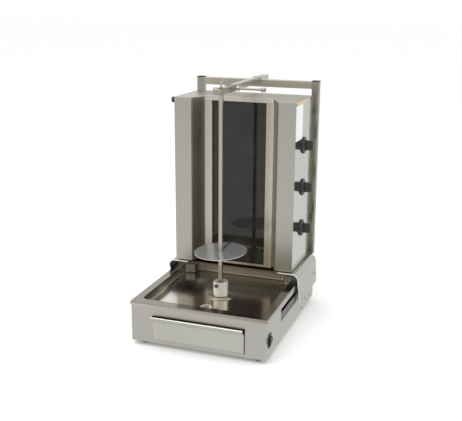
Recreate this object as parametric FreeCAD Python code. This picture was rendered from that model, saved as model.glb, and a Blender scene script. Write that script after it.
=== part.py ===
import FreeCAD, Part
import os
from math import cos, sin, tan, radians, sqrt

# Doner kebab grill, in millimetres. X points right, Y points back from the front face of
# the base and Z points up from the table. At the end the whole grill is moved so that its
# origin lies under its middle.
V = FreeCAD.Vector
UP = V(0, 0, 1)
RIGHT = V(1, 0, 0)
BACK = V(0, 1, 0)

# Clearances
slip = 0.3            # between faces that slide past each other
turn_fit = 0.05       # radial, between a shaft or pin and its bore
over = 1.0            # how far a cut runs past the face that it opens

# Base casing
base_w = 460.0
base_d = 594.0
feet_h = 14.0
rim_z = 150.0
casing_t = 1.5
casing_flange = 15.0
floor_t = 1.2
foot_r = 16.0
foot_taper = 3.0
foot_stem_r = 5.0
foot_inset = 34.0
side_screw_r = 2.5
side_screw_l = 6.5
side_screw_insets = (162.0, 130.0, 100.0, 53.0)
side_screw_zs = (23.0, 57.0, 34.0, 31.0)
side_screw_scales = (1.0, 1.5, 0.8, 0.8)

# Drip tray, which is also the deck of the base
tray_t = 1.5
tray_over = 2.5
tray_lip = 11.0
tray_depth = 31.0
pan_front = 30.0
pan_side = 24.0
pan_step = 398.0
throat_w = 336.0
throat_l = 34.0
pan_corner_r = 18.0
pan_step_r = 14.0
pan_bottom_r = 7.0
drain_x = -10.0
drain_y = 104.0
drain_r = 14.0
drain_wall = 1.2
drain_spout = 6.0
drain_ring_w = 5.0
drain_ring_h = 2.5
drain_ring_r = 1.5

# Drawer
drawer_w = 313.0
drawer_z0 = 26.0
drawer_gap = 0.5
drawer_play = 3.0
drawer_way_rise = 3.5
drawer_sheet = 1.5
drawer_depth = 160.0
drawer_pan_w = 290.0
pan_sheet = 1.2
pan_corner = 4.0
face_top = 82.0
face_swell = 3.0
face_swell_share = 0.3
nose_z = 104.5
nose_r = 5.5
nose_reach = 20.0
runner_t = 1.5
runner_ledge = 14.0
runner_guide_h = 14.0

# Guide slots and vents in the sides of the base
slot_y0 = 162.0
slot_inset = 9.0
slot_z0 = 107.0
slot_z1 = 124.0
vent_z0 = 79.0
vent_y1 = 352.0
grille_t = 0.8
grille_lean = 1.0
grille_lap = 6.0
grille_foot = 3.0
grille_top_gap = 2.0
grille_hole_r = 3.0
grille_pitch = 8.5
grille_first = 0.75   # of a pitch, from the end of the vent to the first hole
grille_stagger = 0.5  # of a pitch, between one row and the next

# Rocker switch on the right side
switch_y = 34.0
switch_z = 69.0
bezel_w = 27.0
bezel_h = 46.0
bezel_t = 2.0
bezel_r = 3.0
rocker_w = 19.0
rocker_r = 20.0
rocker_proud = 9.0
rocker_gap = 0.6
rocker_root = 4.0
rocker_share = 0.86
rocker_tilt = 8.0
switch_wall = 1.2
switch_depth = 34.0

# Spindle drive
spit_y = 215.0
flange_r = 43.0
flange_t = 3.0
flange_edge = 0.8
flange_bolt_r = 34.0
flange_bolt_turns = (45.0, 135.0, 225.0, 315.0)
flange_screw_r = 3.0
flange_screw_l = 16.5
screw_head_r = 5.2
screw_head_h = 3.0
shaft_r = 10.0
seal_r = 16.0
hub_r = 25.0
hub_h = 50.0
hub_gap = 1.0
hub_edge = 1.5
shaft_in_hub = 14.0
socket_floor = 17.0
hub_mouth_r = 19.0
hub_mouth_d = 20.0
hub_bolt_turn = 11.0
hub_bolt_z = 40.0
hub_bolt_r = 4.0
hub_bolt_head_r = 7.0
hub_bolt_head_h = 5.0
hub_bolt_key_r = 3.5
hub_bolt_key_d = 2.5
gearbox_w = 90.0
gearbox_h = 64.0
gearbox_r = 10.0
gearbox_cover_r = 27.0
gearbox_cover_t = 4.0
gearbox_bore_floor = 8.0
motor_r = 32.0
motor_l = 118.0
motor_gap = 4.0
motor_neck_r = 22.0
motor_neck_l = 8.0
motor_tail_r = 27.0
motor_tail_l = 12.0
cradle_w = 60.0
cradle_l = 70.0
cradle_t = 3.0
cradle_start = 24.0

# Spit, disc and pin
spit_w = 12.0
spit_top = 861.0
spit_shoulder = 3.0
socket_fit = 0.1
neck_r = 4.8
neck_over = 2.0
spike_tip_r = 0.6
disc_r = 89.0
disc_t = 2.0
disc_z = 279.0
disc_slit = 9.5
disc_hole = 13.4
disc_tilt_side = 2.6
disc_tilt_front = 2.2
pin_r = 2.5
pin_half = 24.0
pin_head_r = 4.2
pin_gap = 0.5
ring_r = 9.0
ring_wire_r = 1.3

# Saddle of the carriage
saddle_t = 3.0
saddle_gap = 5.5
saddle_z = 187.0
saddle_r = 22.0
saddle_front = 325.0
saddle_back = 606.0
saddle_low = 70.0
saddle_slant = 36.0
saddle_slant_z = 171.0
tail_low_y = 604.0
tail_mid_y = 588.0
tail_mid_z = 152.0
tail_top_y = 566.0
saddle_bridge = 520.0
well_w = 334.0
notch_y = 385.0
notch_w = 5.0
notch_h = 34.0
stud_r = 3.0
stud_front_y = 362.0
stud_back_y = 566.0
stud_head_r = 7.0
stud_head_h = 4.5
stud_head_shank_r = 2.5
roller_r = 5.0
roller_in = 4.0
roller_flange_r = 9.0
roller_flange_t = 1.5

# Heater housing
house_inset = 14.5
house_front = 335.0
house_d = 217.0
house_top = 772.0
house_t = 1.2
plinth_h = 3.0
plinth_w = 15.0
plinth_inset = 26.0
plinth_front = 350.0
plinth_back = 545.0
mouth_w = 309.0
return_y = 405.0
panel_screw_inset = 6.0
panel_screw_back = 32.0
left_screw_count = 3
panel_screw_r = 2.0
panel_screw_l = 8.0
panel_head_r = 4.0
panel_head_h = 2.2
louvre_w = 70.0
louvre_h = 5.0
louvre_pitch = 14.0
louvre_rows = 8
louvre_drop = 70.0
louvre_x = 86.0

# Glass and the heaters behind it
frame_w = 250.0
frame_front = 389.0
frame_d = 8.0
frame_low = 177.0
frame_top = 775.5
frame_gap = 0.4
stile_w = 27.0
top_rail_h = 15.5
top_rail_proud = 3.0
bottom_rail_h = 7.0
glass_t = 4.0
glass_lap = 4.0
glass_foot_lap = 3.0
clip_w = 20.0
clip_h = 22.0
clip_inset = 60.0
heat_pan_side = 2.0
heat_pan_d = 35.0
heat_pan_lip = 9.0
board_t = 23.0
board_gap = 8.0
coil_r = 3.0
coil_passes = 5
coil_pitch = 27.0
coil_half = 82.0
zones = 3

# Knobs and regulators on the right side
knob_y = 445.0
knob_low_z = 321.0
knob_pitch = 147.0
knob_skirt_r = 29.0
knob_skirt_t = 6.0
knob_skirt_edge = 2.4
knob_reach = 35.0
knob_grip_h = 35.0
knob_grip_w = 13.0
knob_grip_edge = 4.0
knob_shaft_r = 3.0
knob_shaft_l = 25.0
knob_hole_gap = 1.0
regulator_w = 38.0
regulator_d = 26.0

# Bare plates and the thumb screw on the sides of the housing
plate_t = 0.3
tall_plate_y0 = 338.0
tall_plate_y1 = 425.0
tall_plate_z0 = 642.0
tall_plate_z1 = 759.0
strip_plate_y0 = 346.0
strip_plate_y1 = 463.0
strip_plate_z0 = 760.5
strip_plate_z1 = 770.0
thumb_y = 347.0
thumb_z = 761.0
thumb_r = 10.0
thumb_h = 12.0
thumb_shank_r = 2.5
thumb_shank_l = 14.0
grip_edge = 1.5

# Posts and crossbar
post_w = 25.0
post_inset = 0.5
post_front = 580.0
post_top = 816.0
post_wall = 1.5
cap_t = 3.0
cap_over = 0.4
cap_plug = 12.0
cap_fit = 0.2
stay_low_z = 300.0
stay_high_z = 700.0
stay_h = 25.0
stay_t = 2.0
stay_inset = 1.0
stay_lap = 10.0
sleeve_t = 1.5
sleeve_inset = 2.0

# Arm and its clamp screw
arm_w = 24.0
arm_h = 20.0
arm_low = 804.0
arm_wall = 2.0
arm_front = 325.0
arm_back = 687.0
boss_r = 8.0
boss_t = 8.0
clamp_y = 334.0
clamp_drop = 3.9
clamp_r = 4.0
clamp_l = 83.0
clamp_knob_r = 7.5
clamp_knob_l = 16.0

# Yoke and top bearing
yoke_front = 273.0
yoke_back = 320.0
yoke_h = 22.0
yoke_edge = 3.0
yoke_slot = 10.0
yoke_slot_back = 311.0
shank_back = 440.0
shank_fit = 0.1
hinge_y = 296.0
hinge_r = 3.0
hinge_head_r = 5.0
hinge_head_t = 2.0
bearing_w = 22.0
bearing_h = 18.0
bearing_front = 177.0
bearing_back = 270.0
bearing_edge = 1.0
tongue_r = 9.0
eye_ahead = 14.5
eye_behind = 6.5
eye_half = 5.3
bush_wall = 2.0
bush_flange_w = 5.0
bush_flange_t = 2.0
lock_rise = 3.0
lock_r = 8.5
lock_h = 15.0
lock_shank_r = 3.0

# Cable gland and terminal block
gland_x = 120.0
gland_z = 45.0
gland_r = 14.0
gland_thread_r = 8.0
gland_bore_r = 5.0
gland_nut_t = 6.0
gland_dome_l = 12.0
gland_dome_r0 = 12.5
gland_dome_r1 = 8.5
gland_in = 12.0
terminal_x = 120.0
terminal_inset = 50.0
terminal_w = 60.0
terminal_d = 24.0
terminal_h = 22.0
terminal_ways = 3
terminal_way_r = 4.0
terminal_way_d = 9.0

# Places worked out from the sizes above
half = base_w / 2
casing_top = rim_z - tray_t
base_floor_z = feet_h + casing_t
base_floor_top = base_floor_z + floor_t
pan_floor = rim_z - tray_depth
pan_under = pan_floor - tray_t
step_run = half - pan_side - throat_w / 2
step_out_r = min(pan_corner_r, step_run * 0.5)
step_in_r = min(pan_step_r, step_run * 0.4, throat_l * 0.4)
throat_r = min(pan_corner_r, throat_l * 0.5)
pan_low_r = min(pan_bottom_r, step_in_r - 2 * tray_t - over)
hub_z0 = pan_floor + flange_t + hub_gap
hub_top = hub_z0 + hub_h
pin_z = disc_z - disc_t / 2 - pin_r - pin_half * sin(radians(disc_tilt_side)) - pin_gap
saddle_out = half + tray_over + saddle_gap + saddle_t
saddle_in = saddle_out - saddle_t
roller_z = slot_z0 + roller_r + slip
house_bottom = saddle_z + plinth_h
house_back = house_front + house_d
house_half = half - house_inset
wall_z0 = house_bottom + house_t
wall_z1 = house_top - house_t
wall_edge = frame_w / 2 + frame_gap
glass_front = frame_front + frame_d
window_half = frame_w / 2 - stile_w
window_low = frame_low + bottom_rail_h
window_high = frame_top - top_rail_h
heat_pan_half = wall_edge - heat_pan_side
heat_pan_back = return_y + heat_pan_d
post_out = half - post_inset
post_in = post_out - post_w
post_back = post_front + post_w
arm_mid = arm_low + arm_h / 2
clamp_z = arm_mid - clamp_drop
bearing_low = arm_mid - bearing_h / 2
bearing_top = arm_mid + bearing_h / 2
lock_z = arm_mid + lock_rise
motor_z = pan_under - motor_gap - motor_r
rocker_x = half + rocker_proud - rocker_r
rocker_chord = sqrt(rocker_r ** 2 - (half - rocker_x) ** 2)
middle_x = ((house_half + knob_reach) - (saddle_out + stud_head_h)) / 2
middle_y = (arm_back - nose_reach) / 2

parts = {}


# Shapes used by many pieces

def box(x0, x1, y0, y1, z0, z1):
    return Part.makeBox(x1 - x0, y1 - y0, z1 - z0, V(x0, y0, z0))


def rod(radius, start, length, way=UP):
    return Part.makeCylinder(radius, length, start, way)


def join(first, *rest):
    return first.fuse(list(rest)).removeSplitter()


def group(shapes):
    return Part.makeCompound(shapes)


def mirror_x(shape):
    return shape.mirror(V(0, 0, 0), RIGHT)


def both_sides(right):
    return [right, mirror_x(right)]


def rounded_corner(before, corner, after, radius):
    """Start, middle and end of the arc that rounds one corner of an outline."""
    a = (before - corner).normalize()
    b = (after - corner).normalize()
    half_turn = a.getAngle(b) / 2
    centre_way = (a + b).normalize()
    centre = corner + centre_way * (radius / sin(half_turn))
    reach = radius / tan(half_turn)
    return corner + a * reach, centre - centre_way * radius, corner + b * reach


def outline(points, radii):
    """Closed wire through the points, each corner rounded by its own radius."""
    corners = []
    count = len(points)
    for i, corner in enumerate(points):
        if radii[i] > 0:
            after = points[(i + 1) % count]
            corners.append(rounded_corner(V(points[i - 1]), V(corner), V(after), radii[i]))
        else:
            corners.append((corner, None, corner))
    edges = []
    for i, (start, middle, end) in enumerate(corners):
        if middle is not None:
            edges.append(Part.Arc(start, middle, end).toShape())
        following = corners[(i + 1) % count][0]
        if (following - end).Length > 1e-6:
            edges.append(Part.LineSegment(end, following).toShape())
    return Part.Wire(edges)


def prism(points, radii, sweep):
    return Part.Face(outline(points, radii)).extrude(sweep)


def rounded_block(x0, x1, y0, y1, z0, z1, radius):
    """Upright block with its four standing edges rounded."""
    points = [V(x0, y0, z0), V(x1, y0, z0), V(x1, y1, z0), V(x0, y1, z0)]
    return prism(points, [radius] * 4, UP * (z1 - z0))


def side_block(x0, x1, y0, y1, z0, z1, radius):
    """Block that stands out sideways, with the four edges along X rounded."""
    points = [V(x0, y0, z0), V(x0, y1, z0), V(x0, y1, z1), V(x0, y0, z1)]
    return prism(points, [radius] * 4, RIGHT * (x1 - x0))


def upright_slot(half_w, y0, y1, z0, z1):
    """Upright block across Y with half-round ends."""
    return join(
        rod(half_w, V(0, y0 + half_w, z0), z1 - z0),
        rod(half_w, V(0, y1 - half_w, z0), z1 - z0),
        box(-half_w, half_w, y0 + half_w, y1 - half_w, z0, z1),
    )


def bent_sheet(points, thickness, sweep):
    """Sheet whose right-hand face follows the points, with mitred bends."""
    far = []
    last = len(points) - 1
    for i, point in enumerate(points):
        ways = []
        if i > 0:
            ways.append((point - points[i - 1]).normalize())
        if i < last:
            ways.append((points[i + 1] - point).normalize())
        normals = [V(-way.y, way.x, 0) for way in ways]
        total = normals[0] + normals[-1]
        far.append(point + total * (2 * thickness / total.Length ** 2))
    loop = points + far[::-1]
    return Part.Face(Part.makePolygon(loop + [loop[0]])).extrude(sweep)


def top_edges(shape, z):
    return [e for e in shape.Edges if e.BoundBox.ZMin > z - 0.01]


def rims(shape):
    """The full circles among the edges of a round shape."""
    return [e for e in shape.Edges if e.Closed]


def round_head(radius, height, seat, way):
    """Round head with both of its rims rounded."""
    head = rod(radius, seat, height, way)
    return head.makeFillet(grip_edge, rims(head))


def dome_screw(head_r, head_h, shank_r, shank_l, seat, way):
    """Dome head standing on its seat, with its shank the other way."""
    ball_r = (head_r ** 2 + head_h ** 2) / (2 * head_h)
    ball = Part.makeSphere(ball_r, seat - way * (ball_r - head_h))
    dome = ball.common(rod(head_r, seat, head_h, way))
    return join(dome, rod(shank_r, seat - way * shank_l, shank_l, way))


def side_hole(radius, x_out, wall, y, z):
    """Cutter for a round hole through a wall whose outer face is at x_out."""
    return rod(radius, V(x_out - wall - over, y, z), wall + 2 * over, RIGHT)


# Base casing and floor

def side_screw_places():
    """Y, Z and head scale of the screws low on each side of the casing."""
    ys = [base_d - inset for inset in side_screw_insets]
    return list(zip(ys, side_screw_zs, side_screw_scales))


def base_casing():
    wall = casing_t
    shell = box(-half, half, 0, base_d, feet_h, casing_top)
    inside = box(-half + wall, half - wall, wall, base_d - wall, base_floor_z, casing_top + over)
    edge = casing_flange
    under = box(-half + edge, half - edge, edge, base_d - edge, 0, base_floor_z + over)
    side = drawer_w / 2 + drawer_gap
    low = drawer_z0 - drawer_gap
    high = nose_z + drawer_way_rise
    drawer_way = box(-side, side + drawer_play, -over, wall + over, low, high)
    cuts = [inside, under, drawer_way, switch_body(half - wall - over, half + over)]
    cuts.append(rod(gland_thread_r, V(gland_x, base_d - wall - over, gland_z), wall + 2 * over, BACK))
    x0 = half - wall - over
    x1 = half + over
    cuts += both_sides(box(x0, x1, slot_y0, base_d - slot_inset, slot_z0, slot_z1))
    cuts += both_sides(box(x0, x1, slot_y0, vent_y1, vent_z0, slot_z1))
    for y, z, _ in side_screw_places():
        cuts += both_sides(side_hole(side_screw_r, half, wall, y, z))
    return foot_holes(shell.cut(cuts))


def base_floor():
    x = half - casing_t
    return foot_holes(box(-x, x, casing_t, base_d - casing_t, base_floor_z, base_floor_top))


def foot_places():
    xs = (-half + foot_inset, half - foot_inset)
    ys = (foot_inset, base_d - foot_inset)
    return [(x, y) for x in xs for y in ys]


def feet():
    made = []
    for x, y in foot_places():
        pad = Part.makeCone(foot_r - foot_taper, foot_r, feet_h, V(x, y, 0))
        stem = rod(foot_stem_r, V(x, y, feet_h), casing_t + floor_t)
        made.append(join(pad, stem))
    return group(made)


def foot_holes(shape):
    length = casing_t + floor_t + 2 * over
    return shape.cut([rod(foot_stem_r, V(x, y, feet_h - over), length) for x, y in foot_places()])


def side_screws():
    made = []
    for y, z, scale in side_screw_places():
        head_r = screw_head_r * scale
        head_h = screw_head_h * scale
        made += both_sides(
            dome_screw(head_r, head_h, side_screw_r, side_screw_l, V(half, y, z), RIGHT)
        )
    return group(made)


# Drip tray

def pan_points(grow, z):
    side = half - pan_side + grow
    throat = throat_w / 2 + grow
    front = pan_front - grow
    step = pan_step + grow
    back = pan_step + throat_l + grow
    right = [(side, front), (side, step), (throat, step), (throat, back)]
    left = [(-x, y) for x, y in reversed(right)]
    return [V(x, y, z) for x, y in right + left]


def pan_body(grow, floor):
    """The pan as a filled body, grown by its wall, up to just past the deck."""
    front = pan_corner_r + grow
    back = throat_r + grow
    turn_out = step_out_r + grow
    turn_in = step_in_r - grow
    radii = [front, turn_out, turn_in, back, back, turn_in, turn_out, front]
    body = prism(pan_points(grow, floor), radii, UP * (rim_z - floor))
    low = [e for e in body.Edges if e.BoundBox.ZMax < floor + 0.01]
    return body.makeFillet(pan_low_r + grow, low)


def pan_floor_hole(radius, x, y):
    return rod(radius, V(x, y, pan_under - over), tray_t + 2 * over)


def drip_tray():
    side = half + tray_over
    low = rim_z - tray_lip
    deck = box(-side, side, -tray_over, base_d, casing_top, rim_z)
    front_lip = box(-side, side, -tray_over, tray_t - tray_over, low, casing_top)
    side_lips = both_sides(box(side - tray_t, side, -tray_over, base_d, low, casing_top))
    tray = join(deck, front_lip, pan_body(tray_t, pan_under), *side_lips)
    holes = [pan_floor_hole(drain_r, drain_x, drain_y), pan_floor_hole(seal_r, 0, spit_y)]
    holes += [pan_floor_hole(flange_screw_r, x, y) for x, y in flange_screw_places()]
    return tray.cut([pan_body(0, pan_floor)] + holes)


def drain_ring():
    low = pan_under - drain_spout
    top = pan_floor + drain_ring_h
    spout = rod(drain_r, V(drain_x, drain_y, low), top - low)
    ring = rod(drain_r + drain_ring_w, V(drain_x, drain_y, pan_floor), drain_ring_h)
    ring = ring.makeFillet(drain_ring_r, top_edges(ring, top))
    bore = rod(drain_r - drain_wall, V(drain_x, drain_y, low - over), top - low + 2 * over)
    return join(ring, spout).cut(bore)


# Vents and switch in the sides of the base

def grille():
    low = vent_z0 - grille_foot
    high = slot_z0 - grille_top_gap
    y0 = slot_y0 - grille_lap
    y1 = vent_y1 + grille_lap
    x = half - casing_t
    lean = x - grille_lean
    t = grille_t
    section = [(x, low), (x, vent_z0), (lean, high), (lean - t, high), (x - t, vent_z0), (x - t, low)]
    sheet = prism([V(px, y0, pz) for px, pz in section], [0] * len(section), BACK * (y1 - y0))
    rows = int((high - low) / grille_pitch)
    columns = int((vent_y1 - slot_y0) / grille_pitch) - 1
    holes = []
    for row in range(rows):
        z = vent_z0 + grille_pitch * (row + 0.5)
        first = slot_y0 + grille_pitch * (grille_first + grille_stagger * (row % 2))
        for column in range(columns):
            y = first + grille_pitch * column
            holes.append(side_hole(grille_hole_r, x, grille_lean + t, y, z))
    return sheet.cut(holes)


def switch_body(x0, x1):
    """The switch behind its bezel, between two places along X."""
    w = rocker_w / 2 + rocker_gap + switch_wall
    h = rocker_chord + rocker_gap + switch_wall
    return box(x0, x1, switch_y - w, switch_y + w, switch_z - h, switch_z + h)


def switch_housing():
    w = bezel_w / 2
    h = bezel_h / 2
    bezel = side_block(
        half, half + bezel_t, switch_y - w, switch_y + w, switch_z - h, switch_z + h, bezel_r
    )
    cavity_w = rocker_w / 2 + rocker_gap
    cavity_h = rocker_chord + rocker_gap
    swing = rod(rocker_r + rocker_gap, V(rocker_x, switch_y - cavity_w, switch_z), 2 * cavity_w, BACK)
    keep = box(
        half - switch_depth, half + bezel_t + over, switch_y - cavity_w, switch_y + cavity_w,
        switch_z - cavity_h, switch_z + cavity_h,
    )
    return join(bezel, switch_body(half - switch_depth, half)).cut(swing.common(keep))


def rocker():
    full = rod(rocker_r, V(rocker_x, switch_y - rocker_w / 2, switch_z), rocker_w, BACK)
    h = rocker_chord * rocker_share
    keep = box(
        rocker_x - rocker_root, rocker_x + rocker_r, switch_y - rocker_w, switch_y + rocker_w,
        switch_z - h, switch_z + h,
    )
    tipped = full.common(keep)
    tipped.rotate(V(rocker_x, switch_y, switch_z), BACK, rocker_tilt)
    return tipped


# Drive under the pan

def gearbox():
    g = gearbox_w / 2
    low = pan_under - gearbox_h
    case = rounded_block(-g, g, spit_y - g, spit_y + g, low, pan_under, gearbox_r)
    cover = rod(gearbox_cover_r, V(0, spit_y, low - gearbox_cover_t), gearbox_cover_t)
    bore = rod(shaft_r + turn_fit, V(0, spit_y, low + gearbox_bore_floor), gearbox_h)
    screw_z = pan_floor + flange_t - flange_screw_l
    screws = [rod(flange_screw_r, V(x, y, screw_z), flange_screw_l) for x, y in flange_screw_places()]
    return join(case, cover).cut([bore] + screws)


def motor():
    start = spit_y + gearbox_w / 2
    can_start = start + motor_neck_l
    tail_start = start + motor_l - motor_tail_l
    neck = rod(motor_neck_r, V(0, start, motor_z), motor_neck_l, BACK)
    can = rod(motor_r, V(0, can_start, motor_z), tail_start - can_start, BACK)
    tail = rod(motor_tail_r, V(0, tail_start, motor_z), motor_tail_l, BACK)
    return join(neck, can, tail)


def motor_bracket():
    x = cradle_w / 2
    y0 = spit_y + gearbox_w / 2 + cradle_start
    y1 = y0 + cradle_l
    foot = box(-x, x, y0, y1, base_floor_top, base_floor_top + cradle_t)
    front_web = box(-x, x, y0, y0 + cradle_t, base_floor_top, motor_z)
    back_web = box(-x, x, y1 - cradle_t, y1, base_floor_top, motor_z)
    seat = rod(motor_r, V(0, y0 - over, motor_z), cradle_l + 2 * over, BACK)
    return join(foot, front_web, back_web).cut(seat)


def flange_screw_places():
    angles = [radians(turn) for turn in flange_bolt_turns]
    return [(flange_bolt_r * cos(a), spit_y + flange_bolt_r * sin(a)) for a in angles]


def hub_flange():
    top = pan_floor + flange_t
    plate = rod(flange_r, V(0, spit_y, pan_floor), flange_t)
    plate = plate.makeChamfer(flange_edge, top_edges(plate, top))
    length = flange_t + 2 * over
    holes = [rod(seal_r, V(0, spit_y, pan_floor - over), length)]
    for x, y in flange_screw_places():
        holes.append(rod(flange_screw_r, V(x, y, pan_floor - over), length))
    return plate.cut(holes)


def flange_screws():
    top = pan_floor + flange_t
    made = []
    for x, y in flange_screw_places():
        seat = V(x, y, top)
        made.append(dome_screw(screw_head_r, screw_head_h, flange_screw_r, flange_screw_l, seat, UP))
    return group(made)


def shaft_seal():
    length = tray_t + flange_t
    ring = rod(seal_r, V(0, spit_y, pan_under), length)
    return ring.cut(rod(shaft_r + turn_fit, V(0, spit_y, pan_under - over), length + 2 * over))


def output_shaft():
    low = pan_under - gearbox_h + gearbox_bore_floor + slip
    return rod(shaft_r, V(0, spit_y, low), hub_z0 + shaft_in_hub - low)


# Hub, spit, disc and pin

def hub_bolt_way():
    turn = radians(hub_bolt_turn)
    return V(-sin(turn), -cos(turn), 0)


def drive_hub():
    body = rod(hub_r, V(0, spit_y, hub_z0), hub_h)
    body = body.makeChamfer(hub_edge, rims(body))
    s = spit_w / 2 + socket_fit
    return body.cut([
        rod(shaft_r, V(0, spit_y, hub_z0 - over), shaft_in_hub + over),
        box(-s, s, spit_y - s, spit_y + s, hub_z0 + socket_floor, hub_top + over),
        rod(hub_mouth_r, V(0, spit_y, hub_top - hub_mouth_d), hub_mouth_d + over),
        rod(hub_bolt_r, V(0, spit_y, hub_z0 + hub_bolt_z), hub_r + over, hub_bolt_way()),
    ])


def hub_bolt():
    way = hub_bolt_way()
    turn = radians(hub_bolt_turn)
    centre = V(0, spit_y, hub_z0 + hub_bolt_z)
    seat = centre + way * hub_r
    head = rod(hub_bolt_head_r, seat, hub_bolt_head_h, way)
    key_start = seat + way * (hub_bolt_head_h - hub_bolt_key_d)
    head = head.cut(rod(hub_bolt_key_r, key_start, hub_bolt_key_d + over, way))
    tip = (spit_w / 2 + hub_bolt_r * sin(turn)) / cos(turn) + socket_fit
    return join(head, rod(hub_bolt_r, centre + way * tip, hub_r - tip, way))


def spit():
    s = spit_w / 2
    shoulder = bearing_low - spit_shoulder
    neck_top = bearing_top + bush_flange_t + neck_over
    bar = box(-s, s, spit_y - s, spit_y + s, hub_z0 + socket_floor, shoulder)
    neck = rod(neck_r, V(0, spit_y, shoulder), neck_top - shoulder)
    spike = Part.makeCone(neck_r, spike_tip_r, spit_top - neck_top, V(0, spit_y, neck_top))
    pin_hole = rod(pin_r + turn_fit, V(-spit_w, spit_y, pin_z), 2 * spit_w, RIGHT)
    return join(bar, neck, spike).cut(pin_hole)


def meat_disc():
    low = disc_z - disc_t
    high = disc_z + disc_t
    hole = disc_hole / 2
    slit = disc_slit / 2
    plate = rod(disc_r, V(0, spit_y, disc_z - disc_t / 2), disc_t)
    plate = plate.cut([
        box(-hole, hole, spit_y - hole, spit_y + hole, low, high),
        box(-slit, slit, spit_y, spit_y + disc_r + over, low, high),
    ])
    centre = V(0, spit_y, disc_z)
    plate.rotate(centre, BACK, -disc_tilt_side)
    plate.rotate(centre, RIGHT, disc_tilt_front)
    return plate


def disc_pin():
    end = V(pin_half, spit_y, pin_z)
    shank = rod(pin_r, V(-pin_half, spit_y, pin_z), 2 * pin_half, RIGHT)
    head = Part.makeSphere(pin_head_r, end)
    ring = Part.makeTorus(ring_r, ring_wire_r, end - UP * ring_r, RIGHT)
    return join(shank, head, ring)


# Drawer

def drawer_profile(x):
    """Section of the drawer's sheet: up the face, out to the foot of the nose, and back."""
    nose_y = nose_r - nose_reach
    nose_low = nose_z - nose_r
    foot = V(x, 0, drawer_z0)
    face_end = V(x, 0, face_top)
    under_nose = V(x, nose_y, nose_low)
    in_nose = V(x, nose_y, nose_low + drawer_sheet)
    inner_end = V(x, drawer_sheet, face_top)
    inner_foot = V(x, drawer_sheet, drawer_z0)
    swell = V(x, nose_y * face_swell_share, (face_top + nose_low) / 2 + face_swell)
    across = V(0, drawer_sheet, drawer_sheet) * sqrt(0.5)
    return Part.Wire([
        Part.LineSegment(foot, face_end).toShape(),
        Part.Arc(face_end, swell, under_nose).toShape(),
        Part.LineSegment(under_nose, in_nose).toShape(),
        Part.Arc(in_nose, swell + across, inner_end).toShape(),
        Part.LineSegment(inner_end, inner_foot).toShape(),
        Part.LineSegment(inner_foot, foot).toShape(),
    ])


def drawer_front():
    """Sheet bent forward at the top and rolled into a round nose to pull on."""
    x = -drawer_w / 2
    sheet = Part.Face(drawer_profile(x)).extrude(RIGHT * drawer_w)
    nose = rod(nose_r, V(x, nose_r - nose_reach, nose_z), drawer_w, RIGHT)
    return join(sheet, nose)


def drawer_pan():
    w = drawer_pan_w / 2
    t = pan_sheet
    y0 = drawer_sheet
    y1 = drawer_depth
    z0 = drawer_z0 + drawer_sheet + slip
    z1 = face_top - slip
    outside = rounded_block(-w, w, y0, y1, z0, z1, pan_corner)
    inside = rounded_block(t - w, w - t, y0 + t, y1 - t, z0 + t, z1 + over, pan_corner - t)
    return outside.cut(inside)


def drawer_runner():
    ledge_top = drawer_z0 + drawer_sheet
    inner = drawer_pan_w / 2 - runner_ledge
    wall = drawer_pan_w / 2 + slip
    y0 = casing_t + drawer_sheet
    ledge = box(inner, wall + runner_t, y0, drawer_depth, ledge_top - runner_t, ledge_top)
    guide = box(wall, wall + runner_t, y0, drawer_depth, base_floor_top, ledge_top + runner_guide_h)
    return join(ledge, guide)


# Terminal block and cable gland

def terminal_block():
    x0 = terminal_x - terminal_w / 2
    y1 = base_d - terminal_inset
    y0 = y1 - terminal_d
    top = base_floor_top + terminal_h
    body = box(x0, x0 + terminal_w, y0, y1, base_floor_top, top)
    ways = []
    for i in range(terminal_ways):
        x = x0 + terminal_w * (i + 0.5) / terminal_ways
        mouth = V(x, (y0 + y1) / 2, top - terminal_way_d)
        ways.append(rod(terminal_way_r, mouth, terminal_way_d + over))
    return body.cut(ways)


def cable_gland():
    inner = base_d - casing_t
    dome_start = V(gland_x, base_d + gland_nut_t, gland_z)
    collar = rod(gland_r, V(gland_x, base_d, gland_z), gland_nut_t, BACK)
    dome = Part.makeCone(gland_dome_r0, gland_dome_r1, gland_dome_l, dome_start, BACK)
    thread = rod(gland_thread_r, V(gland_x, inner - gland_in, gland_z), gland_in + casing_t, BACK)
    nut = rod(gland_r, V(gland_x, inner - gland_nut_t, gland_z), gland_nut_t, BACK)
    length = gland_in + casing_t + gland_nut_t + gland_dome_l
    bore = rod(gland_bore_r, V(gland_x, inner - gland_in - over, gland_z), length + 2 * over, BACK)
    return join(collar, dome, thread, nut).cut(bore)


# Saddle, studs and rollers of the carriage

def saddle_solid(out, top, radius):
    """Upside-down U section of the saddle as a filled body, over its whole depth."""
    y = saddle_front
    points = [V(-out, y, saddle_low), V(-out, y, top), V(out, y, top), V(out, y, saddle_low)]
    return prism(points, [0, radius, radius, 0], BACK * (saddle_back - saddle_front))


def saddle_nose_cut():
    low = saddle_low - over
    front = saddle_front - over
    x = -saddle_out - over
    points = [(front, saddle_slant_z), (saddle_front, saddle_slant_z)]
    points += [(saddle_front + saddle_slant, low), (front, low)]
    return prism([V(x, y, z) for y, z in points], [0] * 4, RIGHT * (-2 * x))


def saddle_tail_cut():
    """Takes the rear corner off the right-hand plate, outside the post."""
    low = saddle_low - over
    top = saddle_z + over
    back = saddle_back + over
    x = post_out
    points = [(tail_low_y, low), (tail_mid_y, tail_mid_z), (tail_top_y, top), (back, top), (back, low)]
    return prism([V(x, y, z) for y, z in points], [0] * 5, RIGHT * (saddle_out + over - x))


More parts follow.
